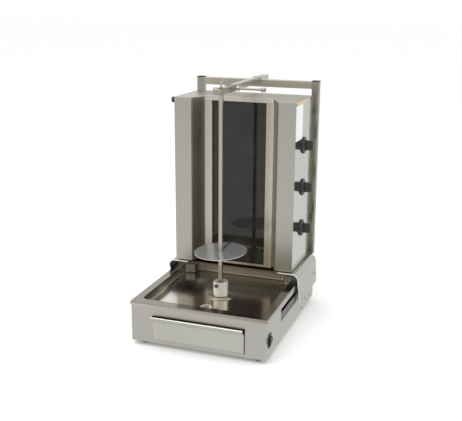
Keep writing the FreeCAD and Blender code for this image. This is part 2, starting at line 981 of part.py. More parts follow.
def saddle():
    shell = saddle_solid(saddle_out, saddle_z, saddle_r)
    well = well_w / 2
    x0 = saddle_in - over
    x1 = saddle_out + over
    notch = box(x0, x1, notch_y, notch_y + notch_w, saddle_low - over, saddle_low + notch_h)
    cuts = [
        saddle_solid(saddle_in, saddle_z - saddle_t, saddle_r - saddle_t),
        saddle_nose_cut(),
        box(-well, well, saddle_front - over, saddle_bridge, saddle_z - saddle_t - over, saddle_z + over),
    ]
    cuts += both_sides(saddle_tail_cut())
    cuts += both_sides(notch)
    for y in (stud_front_y, stud_back_y):
        cuts += both_sides(side_hole(stud_r, saddle_out, saddle_t, y, roller_z))
    return shell.cut(cuts)


def stud_start():
    return half - casing_t - roller_in


def guide_studs():
    x0 = stud_start()
    length = saddle_out - x0
    front = rod(stud_r, V(x0, stud_front_y, roller_z), length, RIGHT)
    rear = rod(stud_r, V(x0, stud_back_y, roller_z), length, RIGHT)
    seat = V(saddle_out, stud_back_y, roller_z)
    head = dome_screw(stud_head_r, stud_head_h, stud_head_shank_r, saddle_t, seat, RIGHT)
    return group(both_sides(front) + both_sides(join(rear, head)))


def guide_rollers():
    x0 = stud_start()
    made = []
    for y in (stud_front_y, stud_back_y):
        sleeve = rod(roller_r, V(x0, y, roller_z), saddle_in - x0, RIGHT)
        flange = rod(roller_flange_r, V(x0, y, roller_z), roller_flange_t, RIGHT)
        bore = rod(stud_r, V(x0 - over, y, roller_z), saddle_in - x0 + 2 * over, RIGHT)
        made += both_sides(join(sleeve, flange).cut(bore))
    return group(made)


# Sheet metal of the heater housing

def housing_plan(z):
    """Outline of the housing from above, with its recess open at the front."""
    mouth = mouth_w / 2
    recess = [(mouth, house_front), (wall_edge, frame_front), (wall_edge, return_y)]
    loop = [(-house_half, house_front), (-house_half, house_back)]
    loop += [(house_half, house_back), (house_half, house_front)]
    loop += recess + [(-x, y) for x, y in reversed(recess)]
    return [V(x, y, z) for x, y in loop]


def housing_bottom():
    plan = housing_plan(house_bottom)
    floor = prism(plan, [0] * len(plan), UP * house_t)
    x1 = house_half - plinth_inset
    x0 = x1 - plinth_w
    rail = box(x0, x1, plinth_front, plinth_back, saddle_z, house_bottom)
    cross = box(-x1, x1, plinth_back - plinth_w, plinth_back, saddle_z, house_bottom)
    return join(floor, cross, *both_sides(rail))


def housing_top():
    plan = housing_plan(wall_z1)
    return prism(plan, [0] * len(plan), UP * house_t)


def cheek():
    """Front panel of the right side with its angled wall, bent from one sheet."""
    path = [(wall_edge, return_y), (wall_edge, frame_front), (mouth_w / 2, house_front)]
    path.append((house_half, house_front))
    return bent_sheet([V(x, y, wall_z0) for x, y in path], house_t, UP * (wall_z1 - wall_z0))


def panel_screw_places():
    front = house_front + house_t + panel_screw_inset
    back = house_back - panel_screw_back
    low = wall_z0 + panel_screw_inset
    high = wall_z1 - panel_screw_inset
    return [(front, low), (back, low), (back, high), (front, high)]


def side_sheet(screw_places, extra_holes):
    x0 = house_half - house_t
    sheet = box(x0, house_half, house_front + house_t, house_back - house_t, wall_z0, wall_z1)
    holes = [side_hole(panel_screw_r, house_half, house_t, y, z) for y, z in screw_places]
    return sheet.cut(holes + extra_holes)


def side_panel_right():
    radius = knob_shaft_r + knob_hole_gap
    holes = [side_hole(radius, house_half, house_t, knob_y, z) for z in knob_heights()]
    return side_sheet(panel_screw_places(), holes)


def side_panel_left():
    thumb_hole = side_hole(thumb_shank_r + slip, house_half, house_t, thumb_y, thumb_z)
    return mirror_x(side_sheet(panel_screw_places()[:left_screw_count], [thumb_hole]))


def rear_panel():
    y0 = house_back - house_t
    sheet = box(-house_half, house_half, y0, house_back, wall_z0, wall_z1)
    slots = []
    for row in range(louvre_rows):
        z = house_top - louvre_drop - louvre_pitch * row
        x0 = louvre_x - louvre_w / 2
        x1 = louvre_x + louvre_w / 2
        slots += both_sides(box(x0, x1, y0 - over, house_back + over, z, z + louvre_h))
    return sheet.cut(slots)


def panel_screws():
    """Four on the right; on the left the thumb screw stands in for the upper front one."""
    made = []
    for i, (y, z) in enumerate(panel_screw_places()):
        seat = V(house_half, y, z)
        screw = dome_screw(panel_head_r, panel_head_h, panel_screw_r, panel_screw_l, seat, RIGHT)
        made.append(screw)
        if i < left_screw_count:
            made.append(mirror_x(screw))
    return group(made)


# Glass and heaters

def glass_frame():
    f = frame_w / 2
    w = window_half
    ring = box(-f, f, frame_front, glass_front, frame_low, frame_top)
    ring = ring.cut(box(-w, w, frame_front - over, glass_front + over, window_low, window_high))
    rail = box(-f, f, frame_front - top_rail_proud, frame_front, window_high, frame_top)
    return join(ring, rail)


def glass_panel():
    x = window_half + glass_lap
    low = window_low - glass_foot_lap
    return box(-x, x, glass_front, glass_front + glass_t, low, window_high + glass_lap)


def glass_clips():
    middle = window_half + glass_lap
    y0 = glass_front + glass_t
    made = []
    for z in (window_low + clip_inset, window_high - clip_inset):
        clip = box(
            middle - clip_w / 2, middle + clip_w / 2, y0, return_y, z - clip_h / 2, z + clip_h / 2
        )
        made += both_sides(clip)
    return group(made)


def heater_pan():
    x = heat_pan_half
    t = house_t
    pan = box(-x, x, return_y, heat_pan_back, wall_z0, wall_z1)
    inside = box(t - x, x - t, return_y - over, heat_pan_back - t, wall_z0 + t, wall_z1 - t)
    lip = box(x - t, x + heat_pan_lip, return_y, return_y + t, wall_z0, wall_z1)
    return join(pan.cut(inside), *both_sides(lip))


def zone_height():
    return (wall_z1 - wall_z0 - 2 * house_t) / zones


def zone_middle(i):
    return wall_z0 + house_t + zone_height() * (i + 0.5)


def board_front():
    return heat_pan_back - house_t - board_t


def insulation_boards():
    x = heat_pan_half - house_t - board_gap
    h = (zone_height() - board_gap) / 2
    made = []
    for i in range(zones):
        z = zone_middle(i)
        made.append(box(-x, x, board_front(), board_front() + board_t, z - h, z + h))
    return group(made)


def coil_path(z_mid):
    """One heater's rod: straight passes joined by half rounds, from side to side."""
    y = board_front() - coil_r
    first_z = z_mid - coil_pitch * (coil_passes - 1) / 2
    edges = []
    for i in range(coil_passes):
        z = first_z + coil_pitch * i
        side = 1 if i % 2 == 0 else -1
        start = V(-coil_half * side, y, z)
        end = V(coil_half * side, y, z)
        edges.append(Part.LineSegment(start, end).toShape())
        if i < coil_passes - 1:
            turn = V((coil_half + coil_pitch / 2) * side, y, z + coil_pitch / 2)
            edges.append(Part.Arc(end, turn, end + UP * coil_pitch).toShape())
    return Part.Wire(edges)


def heater_coils():
    made = []
    for i in range(zones):
        path = coil_path(zone_middle(i))
        ring = Part.Wire([Part.Circle(path.Vertexes[0].Point, RIGHT, coil_r).toShape()])
        made.append(path.makePipeShell([ring], True, False))
    return group(made)


# Knobs, plates and thumb screw on the sides of the housing

def knob_heights():
    return [knob_low_z + knob_pitch * i for i in range(zones)]


def regulators():
    w = regulator_w / 2
    x1 = house_half - house_t
    x0 = x1 - regulator_d
    made = []
    for z in knob_heights():
        body = box(x0, x1, knob_y - w, knob_y + w, z - w, z + w)
        made.append(body.cut(side_hole(knob_shaft_r + turn_fit, x1, regulator_d, knob_y, z)))
    return group(made)


def knob(z):
    x0 = house_half + slip
    x1 = x0 + knob_skirt_t
    skirt = rod(knob_skirt_r, V(x0, knob_y, z), knob_skirt_t, RIGHT)
    rim = [e for e in skirt.Edges if e.BoundBox.XMin > x1 - 0.01]
    skirt = skirt.makeFillet(knob_skirt_edge, rim)
    w = knob_grip_w / 2
    h = knob_grip_h / 2
    grip = side_block(
        x0, house_half + knob_reach, knob_y - w, knob_y + w, z - h, z + h, knob_grip_edge
    )
    shaft = rod(knob_shaft_r, V(x0 - knob_shaft_l, knob_y, z), knob_shaft_l + over, RIGHT)
    return join(skirt, grip, shaft)


def bare_plates():
    x0 = house_half
    x1 = house_half + plate_t
    return group([
        box(x0, x1, tall_plate_y0, tall_plate_y1, tall_plate_z0, tall_plate_z1),
        box(x0, x1, strip_plate_y0, strip_plate_y1, strip_plate_z0, strip_plate_z1),
    ])


def thumb_screw():
    seat = V(house_half + slip, thumb_y, thumb_z)
    head = round_head(thumb_r, thumb_h, seat, RIGHT)
    return mirror_x(join(head, rod(thumb_shank_r, seat - RIGHT * thumb_shank_l, thumb_shank_l, RIGHT)))


# Posts and crossbar

def posts():
    """Square tubes whose feet are cut to sit on the saddle, bend and all."""
    t = post_wall
    low = saddle_z - saddle_r
    tube = box(post_in, post_out, post_front, post_back, low, post_top)
    bore = box(post_in + t, post_out - t, post_front + t, post_back - t, low - over, post_top + over)
    foot = saddle_solid(saddle_out, saddle_z, saddle_r)
    tube = tube.cut([bore, foot])
    standing = [s for s in tube.Solids if s.BoundBox.ZMax > saddle_z]
    return group(both_sides(standing[0]))


def post_caps():
    o = cap_over
    i = post_wall + cap_fit
    lid = box(post_in - o, post_out + o, post_front - o, post_back + o, post_top, post_top + cap_t)
    plug = box(
        post_in + i, post_out - i, post_front + i, post_back - i, post_top - cap_plug, post_top
    )
    return group(both_sides(join(lid, plug)))


def post_stays():
    """Short channels that tie the posts to the back of the housing."""
    made = []
    x1 = house_half - stay_inset
    x0 = x1 - stay_lap
    for z in (stay_low_z, stay_high_z):
        web = box(x0, x1, house_back, post_front, z, z + stay_h)
        hollow = box(
            x0 + stay_t, x1 + over, house_back + stay_t, post_front - stay_t,
            z - over, z + stay_h + over,
        )
        made += both_sides(web.cut(hollow))
    return group(made)


def crossbar():
    """Square tube between the posts with a sleeve in which the arm slides."""
    t = post_wall
    low = post_top - post_w
    y0 = post_front
    y1 = post_back
    bar = box(-post_in, post_in, y0, y1, low, post_top)
    bore = box(-post_in - over, post_in + over, y0 + t, y1 - t, low + t, post_top - t)
    x = arm_w / 2 + slip
    z0 = arm_low - slip
    z1 = arm_low + arm_h + slip
    passage = box(-x, x, y0 - over, y1 + over, z0, z1)
    sleeve = box(
        -x - sleeve_t, x + sleeve_t, y0 + sleeve_inset, y1 - sleeve_inset, z0 - sleeve_t, z1 + sleeve_t
    )
    return join(bar.cut(bore), sleeve).cut(passage)


# Arm with its clamp screw

def arm_tube():
    x = arm_w / 2
    t = arm_wall
    top = arm_low + arm_h
    tube = box(-x, x, arm_front, arm_back, arm_low, top)
    bore = box(t - x, x - t, arm_front - over, arm_back - t, arm_low + t, top - t)
    boss = rod(boss_r, V(x, clamp_y, clamp_z), boss_t, RIGHT)
    screw_way = side_hole(clamp_r + turn_fit, x + boss_t, t + boss_t, clamp_y, clamp_z)
    return join(tube.cut(bore), boss).cut(screw_way)


def clamp_screw():
    x0 = arm_w / 2 - arm_wall
    stem = rod(clamp_r, V(x0, clamp_y, clamp_z), arm_wall + clamp_l, RIGHT)
    seat = V(x0 + arm_wall + clamp_l, clamp_y, clamp_z)
    return join(stem, round_head(clamp_knob_r, clamp_knob_l, seat, RIGHT))


# Yoke and top bearing

def yoke():
    x = arm_w / 2
    h = yoke_h / 2
    body = box(-x, x, yoke_front, yoke_back, arm_mid - h, arm_mid + h)
    tips = [e for e in body.Edges if e.BoundBox.YMax < yoke_front + 0.01 and e.BoundBox.XLength > 1]
    body = body.makeFillet(yoke_edge, tips)
    s = x - arm_wall - shank_fit
    v = arm_h / 2 - arm_wall - shank_fit
    shank = box(-s, s, yoke_back, shank_back, arm_mid - v, arm_mid + v)
    cleft_x = yoke_slot / 2
    cleft = box(
        -cleft_x, cleft_x, yoke_front - over, yoke_slot_back, arm_mid - h - over, arm_mid + h + over
    )
    pin_way = rod(hinge_r, V(-x - over, hinge_y, arm_mid), arm_w + 2 * over, RIGHT)
    return join(body, shank).cut([cleft, pin_way])


def hinge_pin():
    x = arm_w / 2
    head = rod(hinge_head_r, V(x, hinge_y, arm_mid), hinge_head_t, RIGHT)
    return join(rod(hinge_r, V(-x, hinge_y, arm_mid), arm_w, RIGHT), *both_sides(head))


def eye_slot(grow, z0, z1):
    """The slot that the neck of the spit stands in, grown by a wall."""
    return upright_slot(
        eye_half + grow, spit_y - eye_ahead - grow, spit_y + eye_behind + grow, z0, z1
    )


def lock_way():
    length = bearing_w / 2 + over
    return rod(lock_shank_r + turn_fit, V(-length, spit_y, lock_z), length, RIGHT)


def bearing_block():
    x = bearing_w / 2
    body = box(-x, x, bearing_front, bearing_back, bearing_low, bearing_top)
    front_edges = [e for e in body.Edges if e.BoundBox.YMax < bearing_front + 0.01]
    body = body.makeChamfer(bearing_edge, front_edges)
    t = yoke_slot / 2 - slip
    tongue = box(-t, t, bearing_back, hinge_y, arm_mid - tongue_r, arm_mid + tongue_r)
    knuckle = rod(tongue_r, V(-t, hinge_y, arm_mid), 2 * t, RIGHT)
    pin_way = rod(hinge_r + turn_fit, V(-x, hinge_y, arm_mid), bearing_w, RIGHT)
    eye = eye_slot(bush_wall, bearing_low - over, bearing_top + over)
    return join(body, tongue, knuckle).cut([eye, pin_way, lock_way()])


def bearing_bush():
    top = bearing_top + bush_flange_t
    sleeve = eye_slot(bush_wall, bearing_low, bearing_top)
    flange = eye_slot(bush_flange_w, bearing_top, top)
    return join(sleeve, flange).cut([eye_slot(0, bearing_low - over, top + over), lock_way()])


def lock_screw():
    x = bearing_w / 2
    seat = V(-x - slip, spit_y, lock_z)
    stem = rod(lock_shank_r, seat, x - eye_half, RIGHT)
    return join(round_head(lock_r, lock_h, seat, -RIGHT), stem)


def make_base():
    parts["base_casing"] = base_casing()
    parts["base_floor"] = base_floor()
    parts["feet"] = feet()
    parts["drip_tray"] = drip_tray()
    parts["drain_ring"] = drain_ring()
    parts["side_screws"] = side_screws()
    parts["vent_grilles"] = group(both_sides(grille()))
    parts["switch_housing"] = switch_housing()
    parts["rocker"] = rocker()
    parts["drawer_runners"] = group(both_sides(drawer_runner()))
    parts["drawer_front"] = drawer_front()
    parts["drawer_pan"] = drawer_pan()
    parts["terminal_block"] = terminal_block()
    parts["cable_gland"] = cable_gland()


def make_spindle():
    parts["gearbox"] = gearbox()
    parts["motor"] = motor()
    parts["motor_bracket"] = motor_bracket()
    parts["hub_flange"] = hub_flange()
    parts["flange_screws"] = flange_screws()
    parts["shaft_seal"] = shaft_seal()
    parts["output_shaft"] = output_shaft()
    parts["drive_hub"] = drive_hub()
    parts["hub_bolt"] = hub_bolt()
    parts["spit"] = spit()
    parts["meat_disc"] = meat_disc()
    parts["disc_pin"] = disc_pin()


def make_carriage():
    parts["saddle"] = saddle()
    parts["guide_studs"] = guide_studs()
    parts["guide_rollers"] = guide_rollers()
    parts["housing_bottom"] = housing_bottom()
    parts["housing_top"] = housing_top()
    parts["cheek_right"] = cheek()
    parts["cheek_left"] = mirror_x(cheek())
    parts["side_panel_right"] = side_panel_right()
    parts["side_panel_left"] = side_panel_left()
    parts["rear_panel"] = rear_panel()
    parts["panel_screws"] = panel_screws()
    parts["glass_frame"] = glass_frame()
    parts["glass_panel"] = glass_panel()
    parts["glass_clips"] = glass_clips()
    parts["heater_pan"] = heater_pan()
    parts["insulation_boards"] = insulation_boards()
    parts["heater_coils"] = heater_coils()
    parts["regulators"] = regulators()
    for name, z in zip(("knob_bottom", "knob_middle", "knob_top"), knob_heights()):
        parts[name] = knob(z)
    parts["bare_plates"] = bare_plates()
    parts["thumb_screw"] = thumb_screw()


def make_arm():
    parts["posts"] = posts()
    parts["post_caps"] = post_caps()
    parts["post_stays"] = post_stays()
    parts["crossbar"] = crossbar()
    parts["arm_tube"] = arm_tube()
    parts["clamp_screw"] = clamp_screw()
    parts["yoke"] = yoke()
    parts["hinge_pin"] = hinge_pin()
    parts["bearing_block"] = bearing_block()
    parts["bearing_bush"] = bearing_bush()
    parts["lock_screw"] = lock_screw()


make_base()
make_spindle()
make_carriage()
make_arm()
os.makedirs("parts", exist_ok=True)
for name, shape in parts.items():
    shape.translate(V(-middle_x, -middle_y, 0))
    if not shape.isValid():
        print("not valid:", name)
    shape.exportStep("parts/" + name + ".step")
print(len(parts), "nodes, moved by", -middle_x, -middle_y)
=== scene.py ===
import random
from math import cos, pi, radians, sin

import bmesh
import bpy
from mathutils import Matrix, Vector


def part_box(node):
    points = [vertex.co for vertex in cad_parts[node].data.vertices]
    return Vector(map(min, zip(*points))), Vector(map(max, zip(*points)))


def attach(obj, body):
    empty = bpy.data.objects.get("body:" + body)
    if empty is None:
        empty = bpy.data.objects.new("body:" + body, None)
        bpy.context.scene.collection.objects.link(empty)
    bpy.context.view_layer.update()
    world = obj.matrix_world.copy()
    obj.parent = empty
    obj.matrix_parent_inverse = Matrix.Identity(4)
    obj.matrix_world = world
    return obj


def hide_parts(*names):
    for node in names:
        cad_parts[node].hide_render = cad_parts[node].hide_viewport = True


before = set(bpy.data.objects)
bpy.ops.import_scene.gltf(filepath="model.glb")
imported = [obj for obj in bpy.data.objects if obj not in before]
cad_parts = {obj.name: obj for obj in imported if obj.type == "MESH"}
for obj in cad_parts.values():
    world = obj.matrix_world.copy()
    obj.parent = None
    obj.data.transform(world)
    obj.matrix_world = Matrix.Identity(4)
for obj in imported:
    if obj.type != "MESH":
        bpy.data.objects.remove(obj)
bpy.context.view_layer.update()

# Base casing and its floor. The real casing is folded from 1.5 mm stainless sheet with a
# fine grain brushed along its length, welded at the corners, with the floor sheet laid in.


def add_node(tree, kind, settings=None, inputs=None):
    """New node in a material, with its own settings and the values or links of its inputs."""
    made = tree.nodes.new(kind)
    for key, value in (settings or {}).items():
        setattr(made, key, value)
    for key, value in (inputs or {}).items():
        if isinstance(value, bpy.types.NodeSocket):
            tree.links.new(value, made.inputs[key])
        else:
            made.inputs[key].default_value = value
    return made


def new_finish(name):
    """Empty finish: its material, its nodes, their shader and the place on the object."""
    material = bpy.data.materials.new(name)
    material.use_nodes = True
    tree = material.node_tree
    shader = tree.nodes["Principled BSDF"]
    place = add_node(tree, "ShaderNodeTexCoord").outputs["Object"]
    return material, tree, shader, place


def noise_at(tree, place, stretch, scale, detail=3.0, rough=0.55):
    """Noise over the object, drawn out along one direction by its stretch."""
    mapped = add_node(tree, "ShaderNodeMapping", inputs={"Vector": place, "Scale": stretch})
    noise = add_node(tree, "ShaderNodeTexNoise", inputs={
        "Vector": mapped.outputs["Vector"], "Scale": scale, "Detail": detail, "Roughness": rough,
    })
    return noise.outputs["Fac"]


def spread(tree, value, low, high, start=0.3, end=0.7):
    """Turns a noise value into a value between low and high."""
    ranged = add_node(tree, "ShaderNodeMapRange", inputs={
        "Value": value, "From Min": start, "From Max": end, "To Min": low, "To Max": high,
    })
    return ranged.outputs["Result"]


def blended(tree, share, first, second, mode="MIX"):
    """Mixes two colours, each given as three numbers or as a socket."""
    mix = add_node(tree, "ShaderNodeMix", {"data_type": "RGBA", "blend_type": mode})
    for slot, value in ((0, share), (6, first), (7, second)):
        if isinstance(value, bpy.types.NodeSocket):
            tree.links.new(value, mix.inputs[slot])
        else:
            mix.inputs[slot].default_value = value if slot == 0 else (*value, 1.0)
    return mix.outputs[2]


def tint(tree, value, dark, light, start=0.3, end=0.7):
    """Turns a noise value into a colour between two colours."""
    return blended(tree, spread(tree, value, 0.0, 1.0, start, end), dark, light)


def shade(colour, share):
    """The same colour at a share of its brightness."""
    return [c * share for c in colour]


def soft_edges(tree, radius):
    """Normal that looks as if the edges were rounded."""
    return add_node(tree, "ShaderNodeBevel", {"samples": 4}, {"Radius": radius}).outputs["Normal"]


def bumped(tree, height, depth, normal):
    """Normal with a fine relief on top of another normal."""
    bump = add_node(tree, "ShaderNodeBump", inputs={
        "Height": height, "Distance": depth, "Strength": 1.0, "Normal": normal,
    })
    return bump.outputs["Normal"]


along_x = (1.0, 70.0, 70.0)
along_y = (70.0, 1.0, 70.0)
along_z = (70.0, 70.0, 1.0)


def brushed_sheet(
    name, light, grain, roughness=0.30, edge=0.0009, wear=0.05, depth=0.000003, metal=1.0,
):
    """Stainless sheet: fine grain lines one way, faint clouds of handling, uneven gloss."""
    material, tree, shader, place = new_finish(name)
    lines = noise_at(tree, place, grain, 16.0, 4.0)
    clouds = noise_at(tree, place, (1.0, 1.0, 1.0), 6.0, 4.0)
    clean = tint(tree, lines, shade(light, 0.93), light)
    handled = tint(tree, clouds, (1.0 - wear, 1.0 - wear, 1.0 - 1.5 * wear), (1.0, 1.0, 1.0))
    tree.links.new(blended(tree, 1.0, clean, handled, "MULTIPLY"), shader.inputs["Base Color"])
    gloss = add_node(tree, "ShaderNodeMath", {"operation": "ADD"}, {
        0: spread(tree, lines, roughness - 0.04, roughness + 0.04),
        1: spread(tree, clouds, -0.02, 0.03),
    })
    tree.links.new(gloss.outputs[0], shader.inputs["Roughness"])
    shader.inputs["Metallic"].default_value = metal
    tree.links.new(bumped(tree, lines, depth, soft_edges(tree, edge)), shader.inputs["Normal"])
    return material


def dress(material, *names):
    """Gives CAD nodes their finish."""
    for name in names:
        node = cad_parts[name]
        node.data.materials.clear()
        node.data.materials.append(material)


casing_steel = brushed_sheet("casing_steel", (0.595, 0.58, 0.54), along_x, 0.32)
dress(casing_steel, "base_casing")
inner_zinc = brushed_sheet("inner_zinc", (0.40, 0.40, 0.385), along_x, 0.45, wear=0.12)
dress(inner_zinc, "base_floor")

# Feet. Black moulded rubber pads with a ribbed skirt, each on a stem through the casing
# flange and the floor, with a shallow hollow underneath.


def link_mesh(name, bm, material, smooth=40.0):
    """Puts a finished mesh in the scene with its material."""
    bmesh.ops.recalc_face_normals(bm, faces=bm.faces)
    mesh = bpy.data.meshes.new(name)
    bm.to_mesh(mesh)
    bm.free()
    mesh.materials.append(material)
    made = bpy.data.objects.new(name, mesh)
    bpy.context.scene.collection.objects.link(made)
    for polygon in mesh.polygons:
        polygon.use_smooth = True
    mesh.set_sharp_from_angle(angle=radians(smooth))
    return made


def turn_to(way):
    """Turn that carries the Z axis to a given direction."""
    return Vector((0.0, 0.0, 1.0)).rotation_difference(Vector(way)).to_matrix().to_4x4()


def turned(bm, profile, start, way, steps, flute=0.0, flutes=0, fluted=()):
    """Revolves a closed half outline of (radius, along) points about a line.

    The points whose places are in fluted get a number of flutes cut into them.
    """
    place = Matrix.Translation(Vector(start)) @ turn_to(way)
    rings = []
    for i, (radius, along) in enumerate(profile):
        ring = []
        if radius < 1e-7:
            ring = [bm.verts.new(place @ Vector((0.0, 0.0, along)))] * steps
        else:
            for k in range(steps):
                angle = 2 * pi * k / steps
                r = radius
                if i in fluted:
                    r -= flute * (0.5 - 0.5 * cos(flutes * angle))
                ring.append(bm.verts.new(place @ Vector((r * cos(angle), r * sin(angle), along))))
        rings.append(ring)
    for a, b in zip(rings, rings[1:]):
        for k in range(steps):
            n = (k + 1) % steps
            corners = []
            for v in (a[k], a[n], b[n], b[k]):
                if v not in corners:
                    corners.append(v)
            if len(corners) > 2:
                bm.faces.new(corners)


def moulded(name, colour, roughness, grain=0.00004, speck=0.25, scale=900.0, edge=0.0006):
    """Moulded plastic or rubber with a fine spark-eroded grain."""
    material, tree, shader, place = new_finish(name)
    fine = noise_at(tree, place, (1.0, 1.0, 1.0), scale, 2.0)
    broad = noise_at(tree, place, (1.0, 1.0, 1.0), 30.0, 4.0)
    light = [c * (1.0 + speck) + 0.004 for c in colour]
    tree.links.new(tint(tree, broad, colour, light), shader.inputs["Base Color"])
    tree.links.new(spread(tree, broad, roughness - 0.06, roughness + 0.08), shader.inputs["Roughness"])
    tree.links.new(bumped(tree, fine, grain, soft_edges(tree, edge)), shader.inputs["Normal"])
    return material


foot_rubber = moulded("foot_rubber", (0.022, 0.022, 0.022), 0.62)
feet_low, feet_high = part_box("feet")
foot_r = 0.016
foot_h = 0.014
stem_r = 0.005
stem_edge = 0.0004
bm = bmesh.new()
for x in (feet_low.x + foot_r, feet_high.x - foot_r):
    for y in (feet_low.y + foot_r, feet_high.y - foot_r):
        profile = [
            (0.0, 0.0004), (0.0105, 0.0004), (0.0115, 0.0), (0.0130, 0.0), (0.0138, 0.0022),
            (0.0146, 0.0054), (0.0141, 0.0062), (0.0153, 0.0084), (0.0148, 0.0092),
            (foot_r, 0.0112), (foot_r, foot_h), (stem_r, foot_h), (stem_r, feet_high.z - stem_edge),
            (stem_r - stem_edge, feet_high.z), (0.0, feet_high.z),
        ]
        turned(bm, profile, (x, y, 0.0), (0, 0, 1), steps=40)
foot_pads = link_mesh("foot_pads", bm, foot_rubber)
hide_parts("feet")
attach(foot_pads, "base")

# Drip tray and drain ring. One pressed stainless sheet is both the deck and a deep pan,
# polished inside and dull olive, with a pressed ring round the drain.


def polished_pan(name, left, middle, right, deck):
    """Polished steel, lighter on the left and darker to the right, with painted shade at the back and
    on the deck under the saddle, and painted light on the rear wall.
    """
    floor_z = 0.135
    deck_z = 0.149
    saddle_y = 0.098
    # Painted light on the rear wall and painted shade across the back and in the left rear corner.
    rear_wall_light = (0.54, 0.50, 0.415)
    rear_shade_colour = (0.12, 0.105, 0.08)
    # Painted shade on the deck under the saddle: near black, with darker tinted reflections.
    deck_shade_colour = (0.040, 0.031, 0.020)
    deck_shade_reflection_tint = (0.42, 0.33, 0.22)
    material, tree, shader, place = new_finish(name)
    film = noise_at(tree, place, (1.0, 1.0, 1.0), 5.0, 4.0)
    wipes = noise_at(tree, place, (26.0, 3.0, 10.0), 12.0, 4.0)
    split = add_node(tree, "ShaderNodeSeparateXYZ", inputs={"Vector": place})
    across = split.outputs["X"]
    inward = split.outputs["Y"]
    # Colour lighter on the left, darker towards the middle and the right.
    near = blended(tree, spread(tree, across, 0.0, 1.0, -0.15, 0.0), left, middle)
    side_to_side = blended(tree, spread(tree, across, 0.0, 1.0, 0.0, 0.16), near, right)
    # Painted shade: a dark band across the back of the pan.
    shaded_colour = blended(tree, spread(tree, inward, 0.0, 0.75, 0.02, 0.07), side_to_side, rear_shade_colour)
    # Painted light: the rear wall is set lighter, except the left rear corner, which keeps the painted
    # shade.
    behind = add_node(tree, "ShaderNodeMath", {"operation": "MULTIPLY"}, {
        0: spread(tree, inward, 0.0, 1.0, 0.045, 0.070),
        1: spread(tree, across, 0.0, 1.0, -0.175, -0.135),
    }).outputs[0]
    walled = blended(tree, behind, shaded_colour, rear_wall_light)
    uneven = tint(tree, film, (0.88, 0.87, 0.85), (1.0, 1.0, 1.0))
    inside = blended(tree, 1.0, walled, uneven, "MULTIPLY")
    # Painted shade on the deck under the saddle.
    under_saddle_shade = spread(tree, inward, 0.0, 1.0, saddle_y, saddle_y + 0.002)
    top = blended(tree, under_saddle_shade, deck, deck_shade_colour)
    deck_reflection_tinted = blended(tree, under_saddle_shade, (1.0, 1.0, 1.0), deck_shade_reflection_tint)
    deep = spread(tree, split.outputs["Z"], 1.0, 0.0, floor_z, deck_z)
    tree.links.new(blended(tree, deep, top, inside), shader.inputs["Base Color"])
    tree.links.new(deck_reflection_tinted, shader.inputs["Specular Tint"])
    wiped = add_node(tree, "ShaderNodeMath", {"operation": "ADD"}, {
        0: spread(tree, film, 0.14, 0.20),
        1: spread(tree, inward, 0.0, 0.20, 0.0, 0.075),
    })
    tree.links.new(wiped.outputs[0], shader.inputs["Roughness"])
    shader.inputs["Metallic"].default_value = 1.0
    normal = bumped(tree, wipes, 0.000003, soft_edges(tree, 0.0010))
    tree.links.new(normal, shader.inputs["Normal"])
    return material


pan_steel = polished_pan(
    "pan_steel", left=(0.92, 0.885, 0.79), middle=(0.71, 0.635, 0.51), right=(0.51, 0.44, 0.34),
    deck=(0.35, 0.335, 0.285),
)
dress(pan_steel, "drip_tray")
ring_steel = brushed_sheet(
    "ring_steel", (0.92, 0.90, 0.84), along_x, 0.24, edge=0.0008, wear=0.06, metal=0.45,
)
dress(ring_steel, "drain_ring")

# Vents and screws in the casing. The screens are thin punched sheet spot-welded inside
# the long openings; the casing screws are domed and take a cross driver.

dark_screen = brushed_sheet(
    "dark_screen", (0.52, 0.50, 0.455), along_y, 0.40, edge=0.0003, wear=0.10,
)
first_row_z = 0.0790
half_row_pitch = 0.00425


def hole_shade_rows(material, shaded_colour):
    """Lays painted shade round the punched holes, one dark streak along each row."""
    tree = material.node_tree
    shader = tree.nodes["Principled BSDF"]
    clean = shader.inputs["Base Color"].links[0].from_socket
    place = tree.nodes["Texture Coordinate"].outputs["Object"]
    height = add_node(tree, "ShaderNodeSeparateXYZ", inputs={"Vector": place}).outputs["Z"]
    above = add_node(tree, "ShaderNodeMath", {"operation": "SUBTRACT"}, {
        0: height, 1: first_row_z,
    })
    row = add_node(tree, "ShaderNodeMath", {"operation": "PINGPONG"}, {
        0: above.outputs[0], 1: half_row_pitch,
    })
    share = spread(tree, row.outputs[0], 0.0, 1.0, 0.0012, 0.0030)
    tree.links.new(blended(tree, share, clean, shaded_colour), shader.inputs["Base Color"])


# Painted shade: a dark streak along each row of punched holes.
hole_shade_rows(dark_screen, (0.22, 0.21, 0.185))
dress(dark_screen, "vent_grilles")
screw_steel = brushed_sheet("screw_steel", (0.42, 0.36, 0.26), along_z, 0.28, edge=0.0004, wear=0.10)


def screw_head(bm, centre, way, radius, height, turn):
    """Domed head with a cross recess cut into its crown."""
    steps = 32
    rings = 7
    recess_l = radius * 0.62
    recess_w = radius * 0.30
    recess_depth = height * 0.45
    place = Matrix.Translation(Vector(centre)) @ turn_to(way) @ Matrix.Rotation(turn, 4, "Z")
    grid = []
    for i in range(rings):
        share = 1.0 - i / rings
        row = []
        for k in range(steps):
            angle = 2 * pi * k / steps
            x = radius * share * cos(angle)
            y = radius * share * sin(angle)
            z = height * (1.0 - share ** 2.2)
            in_cross = min(abs(x), abs(y)) < recess_w / 2 and max(abs(x), abs(y)) < recess_l
            if in_cross and i > 1:
                z -= recess_depth
            row.append(bm.verts.new(place @ Vector((x, y, z))))
        grid.append(row)
    for a, b in zip(grid, grid[1:]):
        for k in range(steps):
            n = (k + 1) % steps
            bm.faces.new((a[k], a[n], b[n], b[k]))
    bm.faces.new(grid[-1])
    bm.faces.new(grid[0][::-1])


